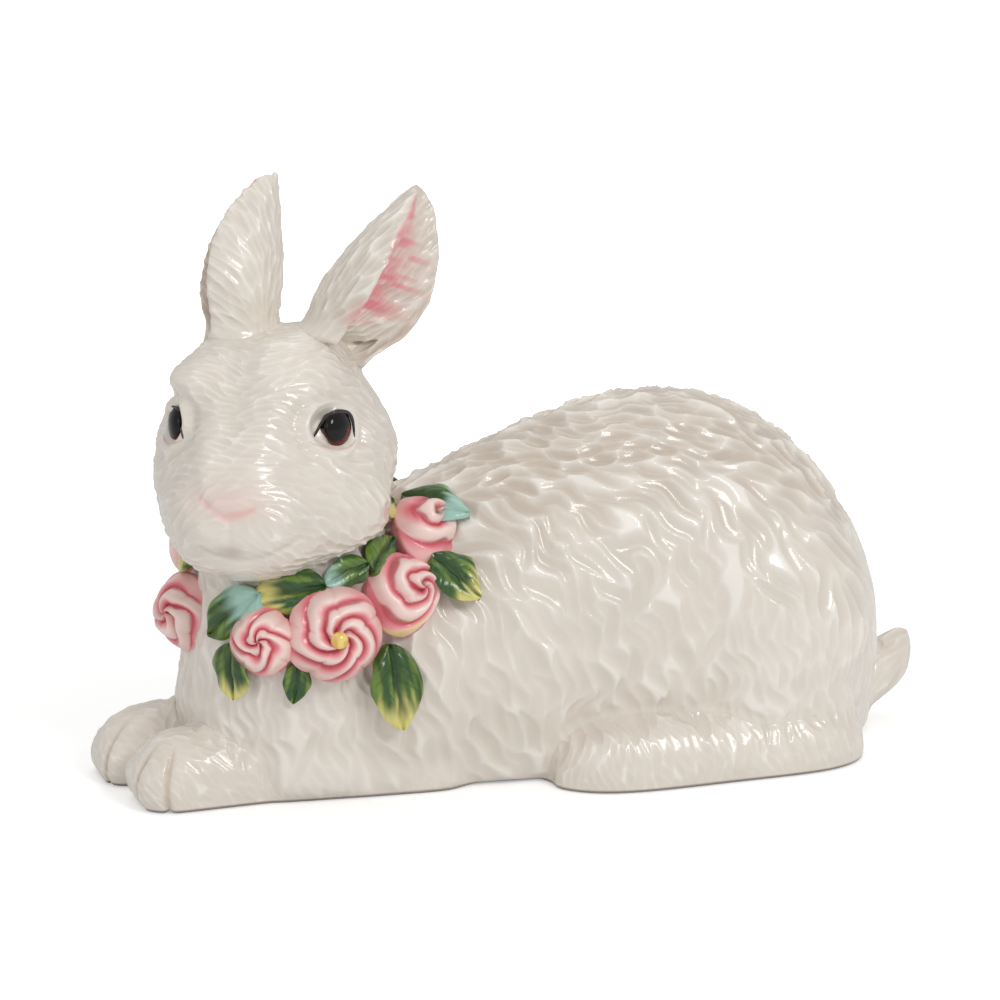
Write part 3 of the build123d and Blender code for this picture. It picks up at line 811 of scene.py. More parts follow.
def add_node(tree, kind, values, output, **settings):
    """Adds a node with values on its inputs, and gives the output asked for."""
    node = tree.nodes.new("ShaderNode" + kind)
    for key, value in settings.items():
        setattr(node, key, value)
    fill_sockets(tree, node, values)
    return node.outputs[output]


def map_range(tree, value, source, target, **settings):
    """Spreads a value from one range over another."""
    values = {"Value": value, "From Min": source[0], "From Max": source[1],
              "To Min": target[0], "To Max": target[1]}
    return add_node(tree, "MapRange", values, "Result", **settings)


def glaze(name, roughness, coat, bump=0.04, index=1.5):
    """A glossy glaze over painted colour, with the faint waviness of a fired surface."""
    material = bpy.data.materials.new(name)
    tree = node_tree(material)
    shader = tree.nodes["Principled BSDF"]
    paint = add_node(tree, "Attribute", {}, "Color", attribute_name="paint")
    place = add_node(tree, "NewGeometry", {}, "Position")
    cloud = add_node(tree, "TexNoise", {"Scale": 60.0, "Detail": 3.0, "Vector": place}, "Fac")
    fine = add_node(tree, "TexNoise", {"Scale": 900.0, "Detail": 2.0, "Vector": place}, "Fac")
    tone = map_range(tree, cloud, (0.3, 0.7), (0.95, 1.03))
    fill_sockets(tree, shader, {
        "Base Color": add_node(tree, "VectorMath", {0: paint, "Scale": tone}, "Vector",
                               operation="SCALE"),
        "Normal": add_node(tree, "Bump", {"Strength": bump, "Distance": 0.0006, "Height": fine},
                           "Normal"),
        "Roughness": map_range(tree, cloud, (0, 1), (0.8 * roughness, 1.25 * roughness)),
        "IOR": index,
        "Coat Weight": coat,
        "Coat Roughness": 0.07,
    })
    return material


white_glaze = glaze("white_glaze", 0.32, 0.5)
petal_glaze = glaze("petal_glaze", 0.30, 0.35)
leaf_glaze = glaze("leaf_glaze", 0.30, 0.35)
eye_glaze = glaze("eye_glaze", 0.06, 0.0, bump=0.0, index=1.38)
bead_glaze = glaze("bead_glaze", 0.2, 0.6)

WARM_WHITE = srgb(230, 222, 211)
# whiter crests: thin glaze and painted highlight
CREST_WHITE_AND_HIGHLIGHT = srgb(238, 232, 223)
# beige of glaze pooled in the hollows, with painted shade
HOLLOW_POOL_AND_SHADE = srgb(186, 169, 151)
# unglazed edge with a painted contact shadow
UNGLAZED_EDGE_AND_SHADOW = srgb(112, 96, 82)
# painted shade for the creases between the toes
TOE_CREASE_SHADE = srgb(184, 160, 138)
NOSE_PINK = srgb(232, 170, 166)
BLUSH_PINK = srgb(226, 192, 184)
# grey of the painted shade at the mouth
MOUTH_SHADE_GREY = srgb(186, 174, 162)
EAR_PINK = srgb(222, 128, 136)


def casting_skin(name):
    """The skin of one casting before it is carved: points, quads, normals and area."""
    points, quads = casting_surface(name)
    points = weld_smooth(points, quads, 1)
    area = len(points) * VOXEL * VOXEL
    if name != "body":
        points, quads = refine(points, quads)
        points = weld_smooth(points, quads, 2)
    return points, quads, outward(points), area


TOE_TURNS = (58.0, 22.0, -24.0)  # degrees outward of straight ahead
TOE_MIDDLE = (-136.0, 18.8)  # forward and outward place that the creases run from


def toe_creases(points, side):
    """How deep the creases between the toes of a forepaw are, from 0 to 1."""
    x, y, z = points.T
    outer, ahead = -side * y - TOE_MIDDLE[1], TOE_MIDDLE[0] - x
    radius, turn = np.hypot(outer, ahead), np.arctan2(outer, ahead)
    creases = np.zeros(len(points))
    for degrees in TOE_TURNS:
        apart = turn - math.radians(degrees)
        gap = np.where(np.cos(apart) > 0, radius * np.sin(apart), radius)
        creases = np.maximum(creases, np.exp(-(gap / 1.15) ** 2))
    return creases * smooth(6, 12, radius) * smooth(27, 19, z)


def settle_paw(points, side):
    """Rounds the front of a forepaw at the table, and draws the left paw back a little."""
    x, y, z = points.T
    front = smooth(-140, -158, x)
    back = front * (1.0 * smooth(14, 4, z) + 2.0 * smooth(6, 0, z))
    if side > 0:
        back = back + 5.0 * smooth(-116, -160, x) + front * (smooth(14, 4, z) + smooth(6, 0, z))
    return points + back[:, None] * np.array([1.0, 0, 0])


def trim_outline(points, name):
    """Draws chest and rump in low down; the tail follows at its root and rises at its tip."""
    x, y, z = points.T
    chest = smooth(-98, -130, x) * np.interp(z, [20, 36, 50, 56, 66], [1.0, 2.2, 4.5, 4.0, 0.0])
    if name == "body":
        points = points + chest[:, None] * np.array([1.0, 0, 0])
    share = smooth(90, 185, x)
    if name == "tail":
        share = share * smooth(181, 166, x)
    pull = share * np.interp(z, [16, 38, 45, 60, 75], [8.5, 4.0, 3.4, 0.9, 0.0])
    points = points - pull[:, None] * np.array([1.0, 0, 0])
    if name == "tail":
        points[:, 2] += 3.2 * smooth(16, 35, z)
    return points


def shape_ear(points, amount, side):
    """Calms the fur at the root of an ear, and draws the tip of the left one out."""
    root, along, across, opening = ear_frame(side)
    up = (points - root) @ along / EAR_LENGTH
    amount = amount * (0.35 + 0.65 * smooth(0.02, 0.16, up))
    if side > 0:
        points = points + smooth(0.5, 1.0, up)[:, None] * (2.6 * along + 1.0 * LEFTWARD)
    return points, amount


TOE_DEPTH = 1.3
HIDDEN_DEPTH = (0.55, 1.2)  # under a neighbour the fur fades out
FUR_HEIGHT = (0.3, 5.0)  # above the table it fades in
EDGE_HEIGHT = (1.9, 1.0)  # the brown line at the table: the unglazed edge and a painted contact shadow
RIDGE_SHARE = 0.42  # of the fur's depth, that the crests stand proud


def casting(name, skin, strokes):
    """Carves and paints one casting and puts it in place of its CAD node."""
    points, quads, normals, area = skin
    side = side_of(name)
    depth, paint = fur_values(points)
    hidden = smooth(*HIDDEN_DEPTH, -sample(whole, points, 0))
    carved = carve(name, points, normals, strokes)
    amount = smooth(*FUR_HEIGHT, points[:, 2]) * (1 - hidden)
    extra = crease = np.zeros(len(points))
    if name == "head":
        amount, extra = face_shape(points, amount)
    if name.endswith("foreleg"):
        points = settle_paw(points, side)
        crease = toe_creases(points, side)
        extra = -TOE_DEPTH * crease
    if name.endswith("ear"):
        points, amount = shape_ear(points, amount, side)
    points = points + normals * (amount * (RIDGE_SHARE * depth - carved) + extra)[:, None]
    points = trim_outline(points, name)
    points[:, 2] = np.maximum(points[:, 2], 0)
    carved = carved / depth
    if name == "body":  # painted shade: the hollows of the back are painted more strongly than those of the flanks
        paint = paint * (0.60 + 1.25 * smooth(0.62, 0.88, spine_share(points)))
    colours = np.tile(WARM_WHITE, (len(points), 1))
    # painted beige in the hollows: glaze pooling and painted shade
    colours = mix(colours, HOLLOW_POOL_AND_SHADE, paint * amount * smooth(0.2, 0.95, carved))
    # crests painted whiter: thinner glaze and painted highlight
    colours = mix(colours, CREST_WHITE_AND_HIGHLIGHT, smooth(0.35, 0.0, carved))
    # painted shade in the toe creases
    colours = mix(colours, TOE_CREASE_SHADE, 0.40 * crease)
    if name == "head":
        colours = paint_face(points, colours)
    if name.endswith("ear"):
        colours = mix(colours, EAR_PINK, ear_pink(points, normals, side))
    # painted contact shadow along the table, over the unglazed edge
    colours = mix(colours, UNGLAZED_EDGE_AND_SHADOW, 0.8 * smooth(*EDGE_HEIGHT, points[:, 2]))
    thing = make_object(name + "_glazed", points, quads, colours)
    dress(thing, name, white_glaze)


def bump(left, up, forward, middle, reach):
    """A soft mound of height one round a place."""
    away = sum(((value - at) / span) ** 2
               for value, at, span in zip((left, up, forward), middle, reach))
    return np.exp(-away)


def line_distance(left, up, route):
    """Distance in the plane of the face to a line through the given places."""
    best = np.full(len(left), 1e9)
    for (x0, y0), (x1, y1) in zip(route[:-1], route[1:]):
        dx, dy = x1 - x0, y1 - y0
        share = np.clip(((left - x0) * dx + (up - y0) * dy) / (dx * dx + dy * dy), 0, 1)
        best = np.minimum(best, np.hypot(left - x0 - share * dx, up - y0 - share * dy))
    return best


EYE_SPREAD = {1: 33.4, -1: 31.2}
EYE_RISE = {1: 0.7, -1: 0.2}
EYE_FORWARD = 1.5
EYE_TURN = math.radians(66)
EYE_LIFT = 0.06
EYE_WIDE, EYE_TALL, EYE_DEEP = 7.4, 7.2, 3.6
EYE_SUNK = 1.4
EYE_DARK = srgb(16, 11, 12)
EYE_GLOW = srgb(98, 36, 28)


def eye_axes(side):
    """The middle of an eye, its way towards the nose, its way up and its way out."""
    yaw = FACE_YAW + side * EYE_TURN
    out = unit(np.array([math.cos(yaw), math.sin(yaw), EYE_LIFT]))
    up = unit(np.array([0, 0, 1.0]) - out * out[2])
    front = np.cross(out, up) * side
    centre = EYES + side * EYE_SPREAD[side] * LEFTWARD + EYE_FORWARD * FORWARD
    return centre + EYE_RISE[side] * up, front, up, out


def eye_places(points, side):
    """Points as seen from one eye: towards the nose, up and out of its middle."""
    centre, front, up, out = eye_axes(side)
    away = points - centre
    return away @ front, away @ up, away @ out


NOSE_LINE = ((-11.0, -19.5), (-6.0, -23.0), (-1.2, -25.8), (3.0, -24.8), (9.5, -22.8))
MOUTH_LINE = ((-10.5, -37.8), (-6.0, -40.2), (3.0, -42.2), (12.0, -41.0), (22.0, -36.2))
FACE_MOUNDS = [  # height, middle and reach, both left, up and forward of the eyes
    (8.5, (37, -31, -6), (14, 19, 24)),  # cheeks, temples and brow
    (7.5, (-31, 17, 4), (12, 12, 16)),
    (3.5, (36, -36, -6), (11, 11, 18)),
    (3.0, (33, 30, -10), (10, 10, 14)),
    (-5.0, (-39, -1, -6), (10, 11, 12)),
    (1.5, (-33, -22, -4), (14, 16, 24)),
    (1.3, (-11, -33, 38), (8, 8, 12)),  # lips, nose, chin and cleft
    (1.5, (14, -33, 38), (9, 8, 12)),
    (1.2, (0, -22, 41), (9, 5, 10)),
    (-2.0, (3, -54, 26), (22, 7, 20)),
    (-0.4, (0, -33, 40), (1.6, 7, 10)),
]
FAR_TEMPLE = (3.5, (-40, 0, -8), (8, 10, 12))  # drawn in beside the far eye
SOCKET_FRONT, SOCKET_BACK, SOCKET_TALL = 11.6, 8.4, 8.0  # half sizes of the eye's opening
SOCKET_AHEAD = 1.5
SOCKET_DEPTH = 3.4


def face_shape(points, amount):
    """How the face is modelled: sockets, brows, cheeks, nose and mouth."""
    left, up, forward = face_place(points)
    muzzle = np.exp(-(((left - 2) / 15) ** 2)) * smooth(0, -20, up) * smooth(8, 26, forward)
    amount = amount * (1 - 0.85 * muzzle)
    brows = 2.4 * bump(np.abs(left), up, forward, (27, 14, 8), (9, 6, 12))
    extra = brows + sum(height * bump(left, up, forward, middle, reach)
                        for height, middle, reach in FACE_MOUNDS)
    for side in (1, -1):
        ahead, over, out = eye_places(points, side)
        socket = smooth(15, 10, np.abs(out)) * smooth(1.6, 1.0, np.hypot(ahead, over) / 9.5)
        extra = extra * (1 - socket)
    nose = line_distance(left, up, NOSE_LINE)
    mouth = line_distance(left, up, MOUTH_LINE)
    lines = 0.4 * np.exp(-(nose / 1.2) ** 2) + 0.4 * np.exp(-(mouth / 1.4) ** 2)
    extra -= smooth(16, 28, forward) * lines
    for side in (1, -1):
        ahead, over, out = eye_places(points, side)
        near = smooth(20, 10, np.abs(out))
        lean = ahead - SOCKET_AHEAD
        ring = np.hypot(lean / np.where(lean > 0, SOCKET_FRONT, SOCKET_BACK), over / SOCKET_TALL)
        extra -= near * SOCKET_DEPTH * smooth(1.02, 0.80, ring)
        rim = np.exp(-((ring - 1.20) / 0.16) ** 2)
        extra += near * rim * (1.0 + 0.9 * smooth(-3, 6, over))
        extra -= near * 0.9 * np.exp(-((ring - 1.62) / 0.22) ** 2)
        amount = amount * (1 - 0.95 * near * smooth(1.55, 1.25, ring))
    extra -= FAR_TEMPLE[0] * bump(left, up, forward, *FAR_TEMPLE[1:])
    return amount, extra


def paint_face(points, colours):
    """Paints the pink nose with its blush, and grey painted shade at the mouth and along its line."""
    left, up, forward = face_place(points)
    front_only = smooth(16, 28, forward)
    nose = line_distance(left, up, NOSE_LINE)
    mouth = line_distance(left, up, MOUTH_LINE)
    glow = bump(left, up, forward, (0, -20, 40), (15, 7, 14))
    colours = mix(colours, BLUSH_PINK, 0.5 * glow)
    width = 2.0 - 0.08 * np.abs(left)
    pink = 0.35 + 0.25 * smooth(-9, 3, left)
    colours = mix(colours, NOSE_PINK, pink * front_only * np.exp(-(nose / width) ** 2))
    # a grey spot of painted shade in the middle of the mouth
    shade = bump(left, up, forward, (1, -39, 41), (6, 2.6, 12))
    colours = mix(colours, MOUTH_SHADE_GREY, 0.75 * shade)
    # painted shade along the groove of the mouth line
    return mix(colours, MOUTH_SHADE_GREY, 0.28 * front_only * np.exp(-(mouth / 1.0) ** 2))


def ear_pink(points, normals, side):
    """Where the pink strokes lie inside an ear, strongest beside its near rim."""
    root, along, across, opening = ear_frame(side)
    away = points - root
    up, aside = away @ along / EAR_LENGTH, away @ across
    inside = smooth(0.15, 0.55, normals @ opening) * smooth(1.00, 0.88, up)
    inside = inside * smooth(0.08, 0.22, up)
    width = EAR_HALF_WIDTH * np.clip(1.15 - 1.1 * np.abs(up - 0.42) ** 1.5, 0.2, 1)
    share = side * aside / width
    ribs = np.stack([share * 1.3, up * 36.0 + share * 2.0, 0 * up], axis=1)
    stroke = smooth(-1.0, 1.0, noise(ribs, 1.0, 1))
    reach = 1.9 * np.clip(np.sin(math.pi * (0.10 + 0.86 * up)), 0, 1)
    band = smooth(0.95 - 1.15 * reach, 0.95 - 0.30 * reach, share + 0.35 * (stroke - 0.5))
    band = band * smooth(1.00, 0.84, share)
    if side < 0:
        band = band * smooth(0.75, 0.45, share)
    return np.clip(inside * band * (0.42 + 0.62 * stroke), 0, 1)


skins = {name: casting_skin(name) for name in CASTINGS}
strokes = {name: plan_strokes(seed, name, *skins[name]) for seed, name in enumerate(CASTINGS)}
for name in CASTINGS:
    casting(name, skins[name], strokes)

# Eyes

def closed_rings(rings):
    """Points and faces of a skin through closed rings, with a cap at both ends."""
    rows, columns = rings.shape[:2]
    faces = []
    for row in range(0, (rows - 1) * columns, columns):
        for column in range(columns):
            here, beside = row + column, row + (column + 1) % columns
            faces.append((here, beside, beside + columns, here + columns))
    faces.append(tuple(range(columns - 1, -1, -1)))
    faces.append(tuple(range((rows - 1) * columns, rows * columns)))
    return rings.reshape(-1, 3), faces


def ring_of(middle, first, second, turns):
    """Points round a middle, from two half axes."""
    return middle + first * np.cos(turns)[:, None] + second * np.sin(turns)[:, None]


SEEN_FROM = (0.169, 0.225, 0.960)  # left, up and forward of an eye, where its lids are drawn


def front_view(side):
    """The way towards a place in front of the face, and its level and upright ways."""
    left, high, ahead = SEEN_FROM
    view = unit(side * left * LEFTWARD + high * UPWARD + ahead * FORWARD)
    level = unit(np.cross(UPWARD, view))
    return view, level, np.cross(view, level)


def build_eye(side, word):
    """A glossy dark cabochon with a red-brown glow in its lower part."""
    centre, front, up, out = eye_axes(side)
    centre = centre - EYE_SUNK * out
    turns = np.linspace(0, 2 * math.pi, 64, endpoint=False)
    rings = []
    dome = [(share, math.sin(share * math.pi / 2)) for share in np.linspace(0.02, 1, 22)]
    back = [(1.2, 0.9), (1.6, 0.9)]  # hidden in the socket
    for share, wide in dome + back:
        middle = centre + out * (EYE_DEEP * math.cos(share * math.pi / 2))
        rings.append(ring_of(middle, front * (EYE_WIDE * wide), up * (EYE_TALL * wide), turns))
    points, faces = closed_rings(np.array(rings))
    view, level, upright = front_view(side)
    across, high = points @ level, points @ upright
    aside = (across - across.min()) / (np.ptp(across) / 2) - 1
    low = (high - high.min()) / (np.ptp(high) / 2) - 1
    crescent = smooth(0.70, 0.80, np.hypot(aside, low)) * smooth(0.22, -0.22, low)
    colours = mix(EYE_DARK, EYE_GLOW, crescent)
    thing = make_object(word + "_eye_glazed", points, faces, colours)
    dress(thing, word + "_eye", eye_glaze)


LID_BROWN = srgb(38, 26, 24)
LID_PINK = srgb(224, 198, 186)


def tube(route, radii):
    """A round strip of glaze along a route of points, with its own radius at each."""
    turns = np.linspace(0, 2 * math.pi, 10, endpoint=False)
    rings = []
    for index, radius in enumerate(radii):
        before, after = route[max(index - 1, 0)], route[min(index + 1, len(route) - 1)]
        ahead = unit(after - before)
        first = unit(np.cross(ahead, np.array([0.2, 0.1, 1.0])))
        rings.append(ring_of(route[index], radius * first, radius * np.cross(ahead, first), turns))
    return closed_rings(np.array(rings))


LOOK_FROM = 30  # how far off the eye the places are looked for on the skin


def rounded(route, rounds):
    """A line with its inner points drawn towards their neighbours."""
    for turn in range(rounds):
        route[1:-1] = (route[:-2] + 2 * route[1:-1] + route[2:]) / 4
    return route


def lid_route(side, places, count=48):
    """A smooth line on the skin round an eye, through places outward of it and above it."""
    centre = eye_axes(side)[0]
    view, level, upright = front_view(side)
    steps = np.linspace(0, len(places) - 1, count)
    plan = np.stack([np.interp(steps, np.arange(len(places)), row) for row in zip(*places)], axis=1)
    route = []
    for outer, over in rounded(plan, 4):
        start = centre + side * level * outer + upright * over + view * LOOK_FROM
        hits = [skin.ray_cast(Vector(start), Vector(-view)) for skin in (head_skin, eye_skins[side])]
        found = min((hit[3], tuple(hit[0])) for hit in hits if hit[0] is not None)
        route.append(found[1])
    return rounded(np.array(route), 6)


def skin_of(name):
    """The skin of a finished piece in millimetres, to find places on it."""
    mesh = bpy.data.objects[name].data
    points = np.empty(len(mesh.vertices) * 3)
    mesh.vertices.foreach_get("co", points)
    corners = [Vector(point) for point in points.reshape(-1, 3) / MM]
    return BVHTree.FromPolygons(corners, [list(face.vertices) for face in mesh.polygons])


UPPER_LID = ((-10.3, -5.6), (-8.9, -1.5), (-6.8, 2.1), (-4.4, 4.8), (-2.0, 6.1), (0.6, 6.4),
             (3.0, 6.0), (4.4, 3.7), (4.8, 0.3), (5.1, -3.4))
LOWER_LID = ((-9.9, -5.9), (-5.0, -7.8), (-1.0, -8.5), (3.6, -7.2), (5.8, -4.2))


def build_lid(side, word, which, places, colour, thick):
    """A thin raised stroke of glaze along the edge of an eyelid."""
    route = lid_route(side, places)
    swell = np.sin(np.linspace(0, math.pi, len(route))) ** 0.6
    points, faces = tube(route, 0.12 + thick * swell)
    lid = make_object(word + which, points, faces, np.tile(colour, (len(points), 1)))
    dress(lid, "head", white_glaze)


build_eye(1, "left")
build_eye(-1, "right")
head_skin = skin_of("head_glazed")
eye_skins = {1: skin_of("left_eye_glazed"), -1: skin_of("right_eye_glazed")}
for side, word in ((1, "left"), (-1, "right")):
    upper = UPPER_LID if side > 0 else UPPER_LID[:-4]  # the far lid ends where it turns away
    build_lid(side, word, "_upper_lid", upper, LID_BROWN, 0.72)
    build_lid(side, word, "_lower_lid", LOWER_LID, LID_PINK, 0.30)

# Garland

GARLAND_CENTRE = np.array([-88.0, -12.0, 88.0])
GARLAND_RADIUS = 47.0
GARLAND_SLOPE = (0.40, 0.32)
ROSE_RADIUS = 18.0
ROSE_BED, LEAF_BED = 1.0, 0.8  # how deep the clay holds them
LEAF_LENGTH = 34.0
LEAF_WIDTH = 20.0


def garland_axes(angle, height, reach, turn, rise, heading):
    """A place on the garland: its middle, its heading, its side and its way out."""
    ring = math.radians(angle)
    x = reach * GARLAND_RADIUS * math.cos(ring)
    y = reach * GARLAND_RADIUS * math.sin(ring)
    z = GARLAND_SLOPE[0] * x + GARLAND_SLOPE[1] * y + height * GARLAND_RADIUS
    yaw, pitch = math.radians(angle + turn), math.radians(rise)
    out = np.array([math.cos(yaw) * math.cos(pitch), math.sin(yaw) * math.cos(pitch),
                    math.sin(pitch)])
    along = np.array([-math.sin(yaw), math.cos(yaw), 0])
    upward = np.cross(out, along)
    spin = math.radians(heading)
    ahead = along * math.cos(spin) + upward * math.sin(spin)
    return GARLAND_CENTRE + np.array([x, y, z]), ahead, np.cross(out, ahead), out


def bed(points, depth):
    """Brings points that lie deep in the clay up to a small depth under its skin."""
    for turn in range(4):
        below = sample(whole, points, 0) + depth
        deep = below < 0
        if not deep.any():
            break
        points = points.copy()
        points[deep] -= outward(points[deep]) * below[deep, None]
    return points


ROSE_SHARES = {  # arms, turns, sides, squareness, heart place, outer petals
    "swirl": (5, 2.9, 5, 0.035, (0.06, 0.0), 5),
    "cup": (4, 2.3, 4, 0.12, (0.05, 0.06), 4),
    "wrapped": (3, 2.7, 3, 0.09, (0.26, 0.04), 3),
    "bud": (2, 2.2, 2, 0.16, (0.10, 0.22), 3),
}
ROSE_SKIRT_SHARES = (  # how far in and how deep
    (0.99, 0.10), (0.95, 0.22), (0.84, 0.42), (0.66, 0.62), (0.42, 0.78), (0.12, 0.86))
# deep pink of painted shade in the creases of the roses and at their hearts
ROSE_CREASE_SHADE = srgb(200, 60, 82)
PETAL_PINK = srgb(236, 150, 154)
LIP_PINK = srgb(247, 220, 212)
HEART_YELLOW = srgb(238, 214, 140)
BEAD_YELLOW = srgb(240, 214, 120)
BEAD_AMBER = srgb(228, 176, 84)


def skirt_of(rim, radius):
    """Rings that close a rose underneath, from its rim to a small foot."""
    rings = []
    for inward, deep in ROSE_SKIRT_SHARES:
        ring = rim * np.array([inward, inward, 0])
        ring[:, 2] = np.minimum(rim[:, 2], 0) * inward - deep * radius
        rings.append(ring)
    return np.array(rings)


def paint_rose(fraction, s, wobble):
    """Colours of a rose: pale lips, deep pink creases and heart as painted shade, and a paler edge."""
    face = fraction + 0.06 * wobble
    colours = mix(PETAL_PINK, LIP_PINK, smooth(0.22, 0.62, face))
    # painted shade: deep pink in the creases, at the back of each lip and towards the heart
    colours = mix(colours, ROSE_CREASE_SHADE, 0.9 * smooth(0.34, 0.02, face))
    colours = mix(colours, ROSE_CREASE_SHADE, 0.8 * smooth(0.92, 0.99, face))
    colours = mix(colours, ROSE_CREASE_SHADE, 0.40 * smooth(0.42, 0.05, s))
    return mix(colours, PETAL_PINK, 0.55 * smooth(0.80, 1.0, s))


def build_rose(index, name, angle, height, size, reach, turn, rise, spin, kind):
    """A rose rolled from strips of clay: spiral lips with deep creases between them."""
    centre, ahead, aside, out = garland_axes(angle, height, reach, turn, rise, spin)
    radius = size * ROSE_RADIUS
    arms, turns, sides, square, heart, outer = ROSE_SHARES[kind]
    rows, spokes = ((84, 180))
    s, a = np.meshgrid(np.linspace(0.015, 1, rows),
                       np.linspace(0, 2 * math.pi, spokes, endpoint=False), indexing="ij")
    wobble = grid_noise(3 * np.cos(a), 3 * np.sin(a), 5 * s + 9 * index, 1.6, 4)
    warped = s * (1 + square * np.cos(sides * a + 2.2 * s + index)) + 0.020 * wobble
    phase = turns * np.maximum(warped, 0) ** 0.86 + arms * a / (2 * math.pi)
    fraction = phase - np.floor(phase)
    lip = np.clip(np.sin(math.pi * fraction ** 1.6), 0, 1) ** 0.7
    edge = 0.93 + 0.09 * np.abs(np.sin(outer * a / 2 + 0.7 * index)) ** 0.6 + 0.012 * wobble
    flat = radius * s * edge
    shift = (1 - s) * radius
    x = flat * np.cos(a) + heart[0] * shift
    y = flat * np.sin(a) + heart[1] * shift
    dome = radius * (0.60 - 0.70 * s ** 2.6 - 0.05 * (1 - s) ** 3)
    lip_height = 0.21 * radius * (0.75 + 0.35 * s) * smooth(0.0, 0.06, s)
    lip_height = lip_height * (1 - smooth(0.74, 0.98, s))
    z = dome + lip_height * (lip - 0.55) + 0.010 * radius * wobble
    top = np.stack([x, y, z], axis=2)
    local, faces = closed_rings(np.concatenate([top, skirt_of(top[-1], radius)]))
    points = centre + local[:, :1] * ahead + local[:, 1:2] * aside + local[:, 2:] * out
    points = bed(points, ROSE_BED)
    colours = paint_rose(fraction.ravel(), s.ravel(), wobble.ravel())
    if kind == "wrapped":
        low = smooth(0.3, 0.8, (centre[2] - points[:s.size, 2]) / radius)
        colours = mix(colours, HEART_YELLOW, 0.7 * low * smooth(0.4, 0.8, lip.ravel()))
    under = np.tile(PETAL_PINK, (len(points) - s.size, 1))
    thing = make_object(name + "_glazed", points, faces, np.concatenate([colours, under]))
    dress(thing, name, petal_glaze)


rose_places_share = [  # name, angle, height, size, reach, turn, rise, spin, kind
    ("rose_front_large", -88.0, -0.03, 1.03, 1.00, -8.0, 4.0, 20.0, "swirl"),
    ("rose_front_small", -121.5, 0.085, 0.73, 0.98, 4.0, 6.0, 70.0, "cup"),
    ("rose_left_cheek", -47.0, -0.15, 0.90, 1.02, -24.0, 14.0, 10.0, "wrapped"),
    ("rose_left_shoulder", -22.0, 0.04, 0.86, 1.10, -34.0, 36.0, 0.0, "bud"),
    ("rose_right_chest", 172.0, -0.02, 0.86, 0.95, 34.0, 2.0, 40.0, "cup"),
    ("rose_right_cheek", 138.0, 0.16, 0.72, 0.98, 0.0, 10.0, 110.0, "wrapped"),
    ("rose_right_shoulder", 100.0, 0.06, 0.80, 1.00, 0.0, 24.0, 10.0, "swirl"),
    ("rose_nape_right", 60.0, 0.04, 0.74, 1.00, 0.0, 44.0, 85.0, "cup"),
    ("rose_nape_left", 37.0, 0.02, 0.64, 1.02, 0.0, 50.0, 30.0, "bud"),
]
for index, row in enumerate(rose_places_share):
    build_rose(index, *row)


def build_bead(radius=3.4):
    """The yellow bead at the heart of the large front rose."""
    name, angle, height, size, reach, turn, rise, spin, kind = rose_places_share[0]
    centre, ahead, aside, out = garland_axes(angle, height, reach, turn, rise, spin)
    middle = centre + out * 0.60 * size * ROSE_RADIUS
    bend = np.linspace(0, 2 * math.pi, 32, endpoint=False)
    rings = []
    for slope in np.linspace(0.03, 0.97, 18) * math.pi:
        wide = radius * math.sin(slope)
        rings.append(ring_of(middle + out * radius * 0.8 * math.cos(slope),
                             ahead * wide, aside * wide, bend))
    points, faces = closed_rings(np.array(rings))
    colours = mix(BEAD_YELLOW, BEAD_AMBER, smooth(-0.5, 1.0, noise(points, 2.0, 5)))
    thing = make_object("rose_bead_glazed", points, faces, colours)
    dress(thing, "rose_bead", bead_glaze)


build_bead()

LEAF_ARCH = 58.0
LEAF_THICK = 3.2
LEAF_LIFT = 5.5
LEAF_PAD = 5.0
DARK_GREEN = srgb(40, 80, 24)
LIGHT_GREEN = srgb(122, 152, 54)
VEIN_GREEN = srgb(22, 46, 16)
TIP_YELLOW = srgb(226, 216, 130)
TIP_TEAL = srgb(166, 206, 194)


def skin_reach(point, way, limit):
    """How far along a way the body's own skin is passed for the last time."""
    steps = np.arange(-limit, limit, 0.5)
    places = point + steps[:, None] * way
    inside = fields["body"].at(places) < 0
    return steps[inside].max() if inside.any() else 0.0


def leaf_axes(angle, height, length, reach, turn, rise, heading):
    """The root and the ways of a leaf that is laid on the body's skin at both its ends."""
    centre, ahead, aside, out = garland_axes(angle, height, reach, turn, rise, heading)
    ends = []
    for along in (LEAF_THICK, length - LEAF_THICK):
        point = centre + ahead * along
        ends.append(point + out * (skin_reach(point, out, length) + LEAF_LIFT))
    ahead = unit(ends[1] - ends[0])
    aside = unit(np.cross(out, ahead))
    return ends[0] - ahead * LEAF_THICK, ahead, aside, np.cross(ahead, aside)


def paint_leaf(u, v, rib, vein, brush, tip, tip_share):
    """Colours over the top of a leaf; a negative share of tip colour lies at the root."""
    light = 0.75 * smooth(-0.6, 1.2, brush + 0.9 * np.abs(v) - 0.5)
    colours = mix(DARK_GREEN, LIGHT_GREEN, light.ravel())
    colours = mix(colours, VEIN_GREEN, np.clip(rib * 0.7 + vein * 0.45, 0, 0.8).ravel())
    if tip is not None:
        bare = 1 - abs(tip_share)
        place = u if tip_share > 0 else 1 - u
        cover = smooth(bare - 0.12, bare + 0.22, place + 0.10 * brush)
        colours = mix(colours, tip, 0.92 * cover.ravel())
    return colours.reshape(brush.shape + (3,))


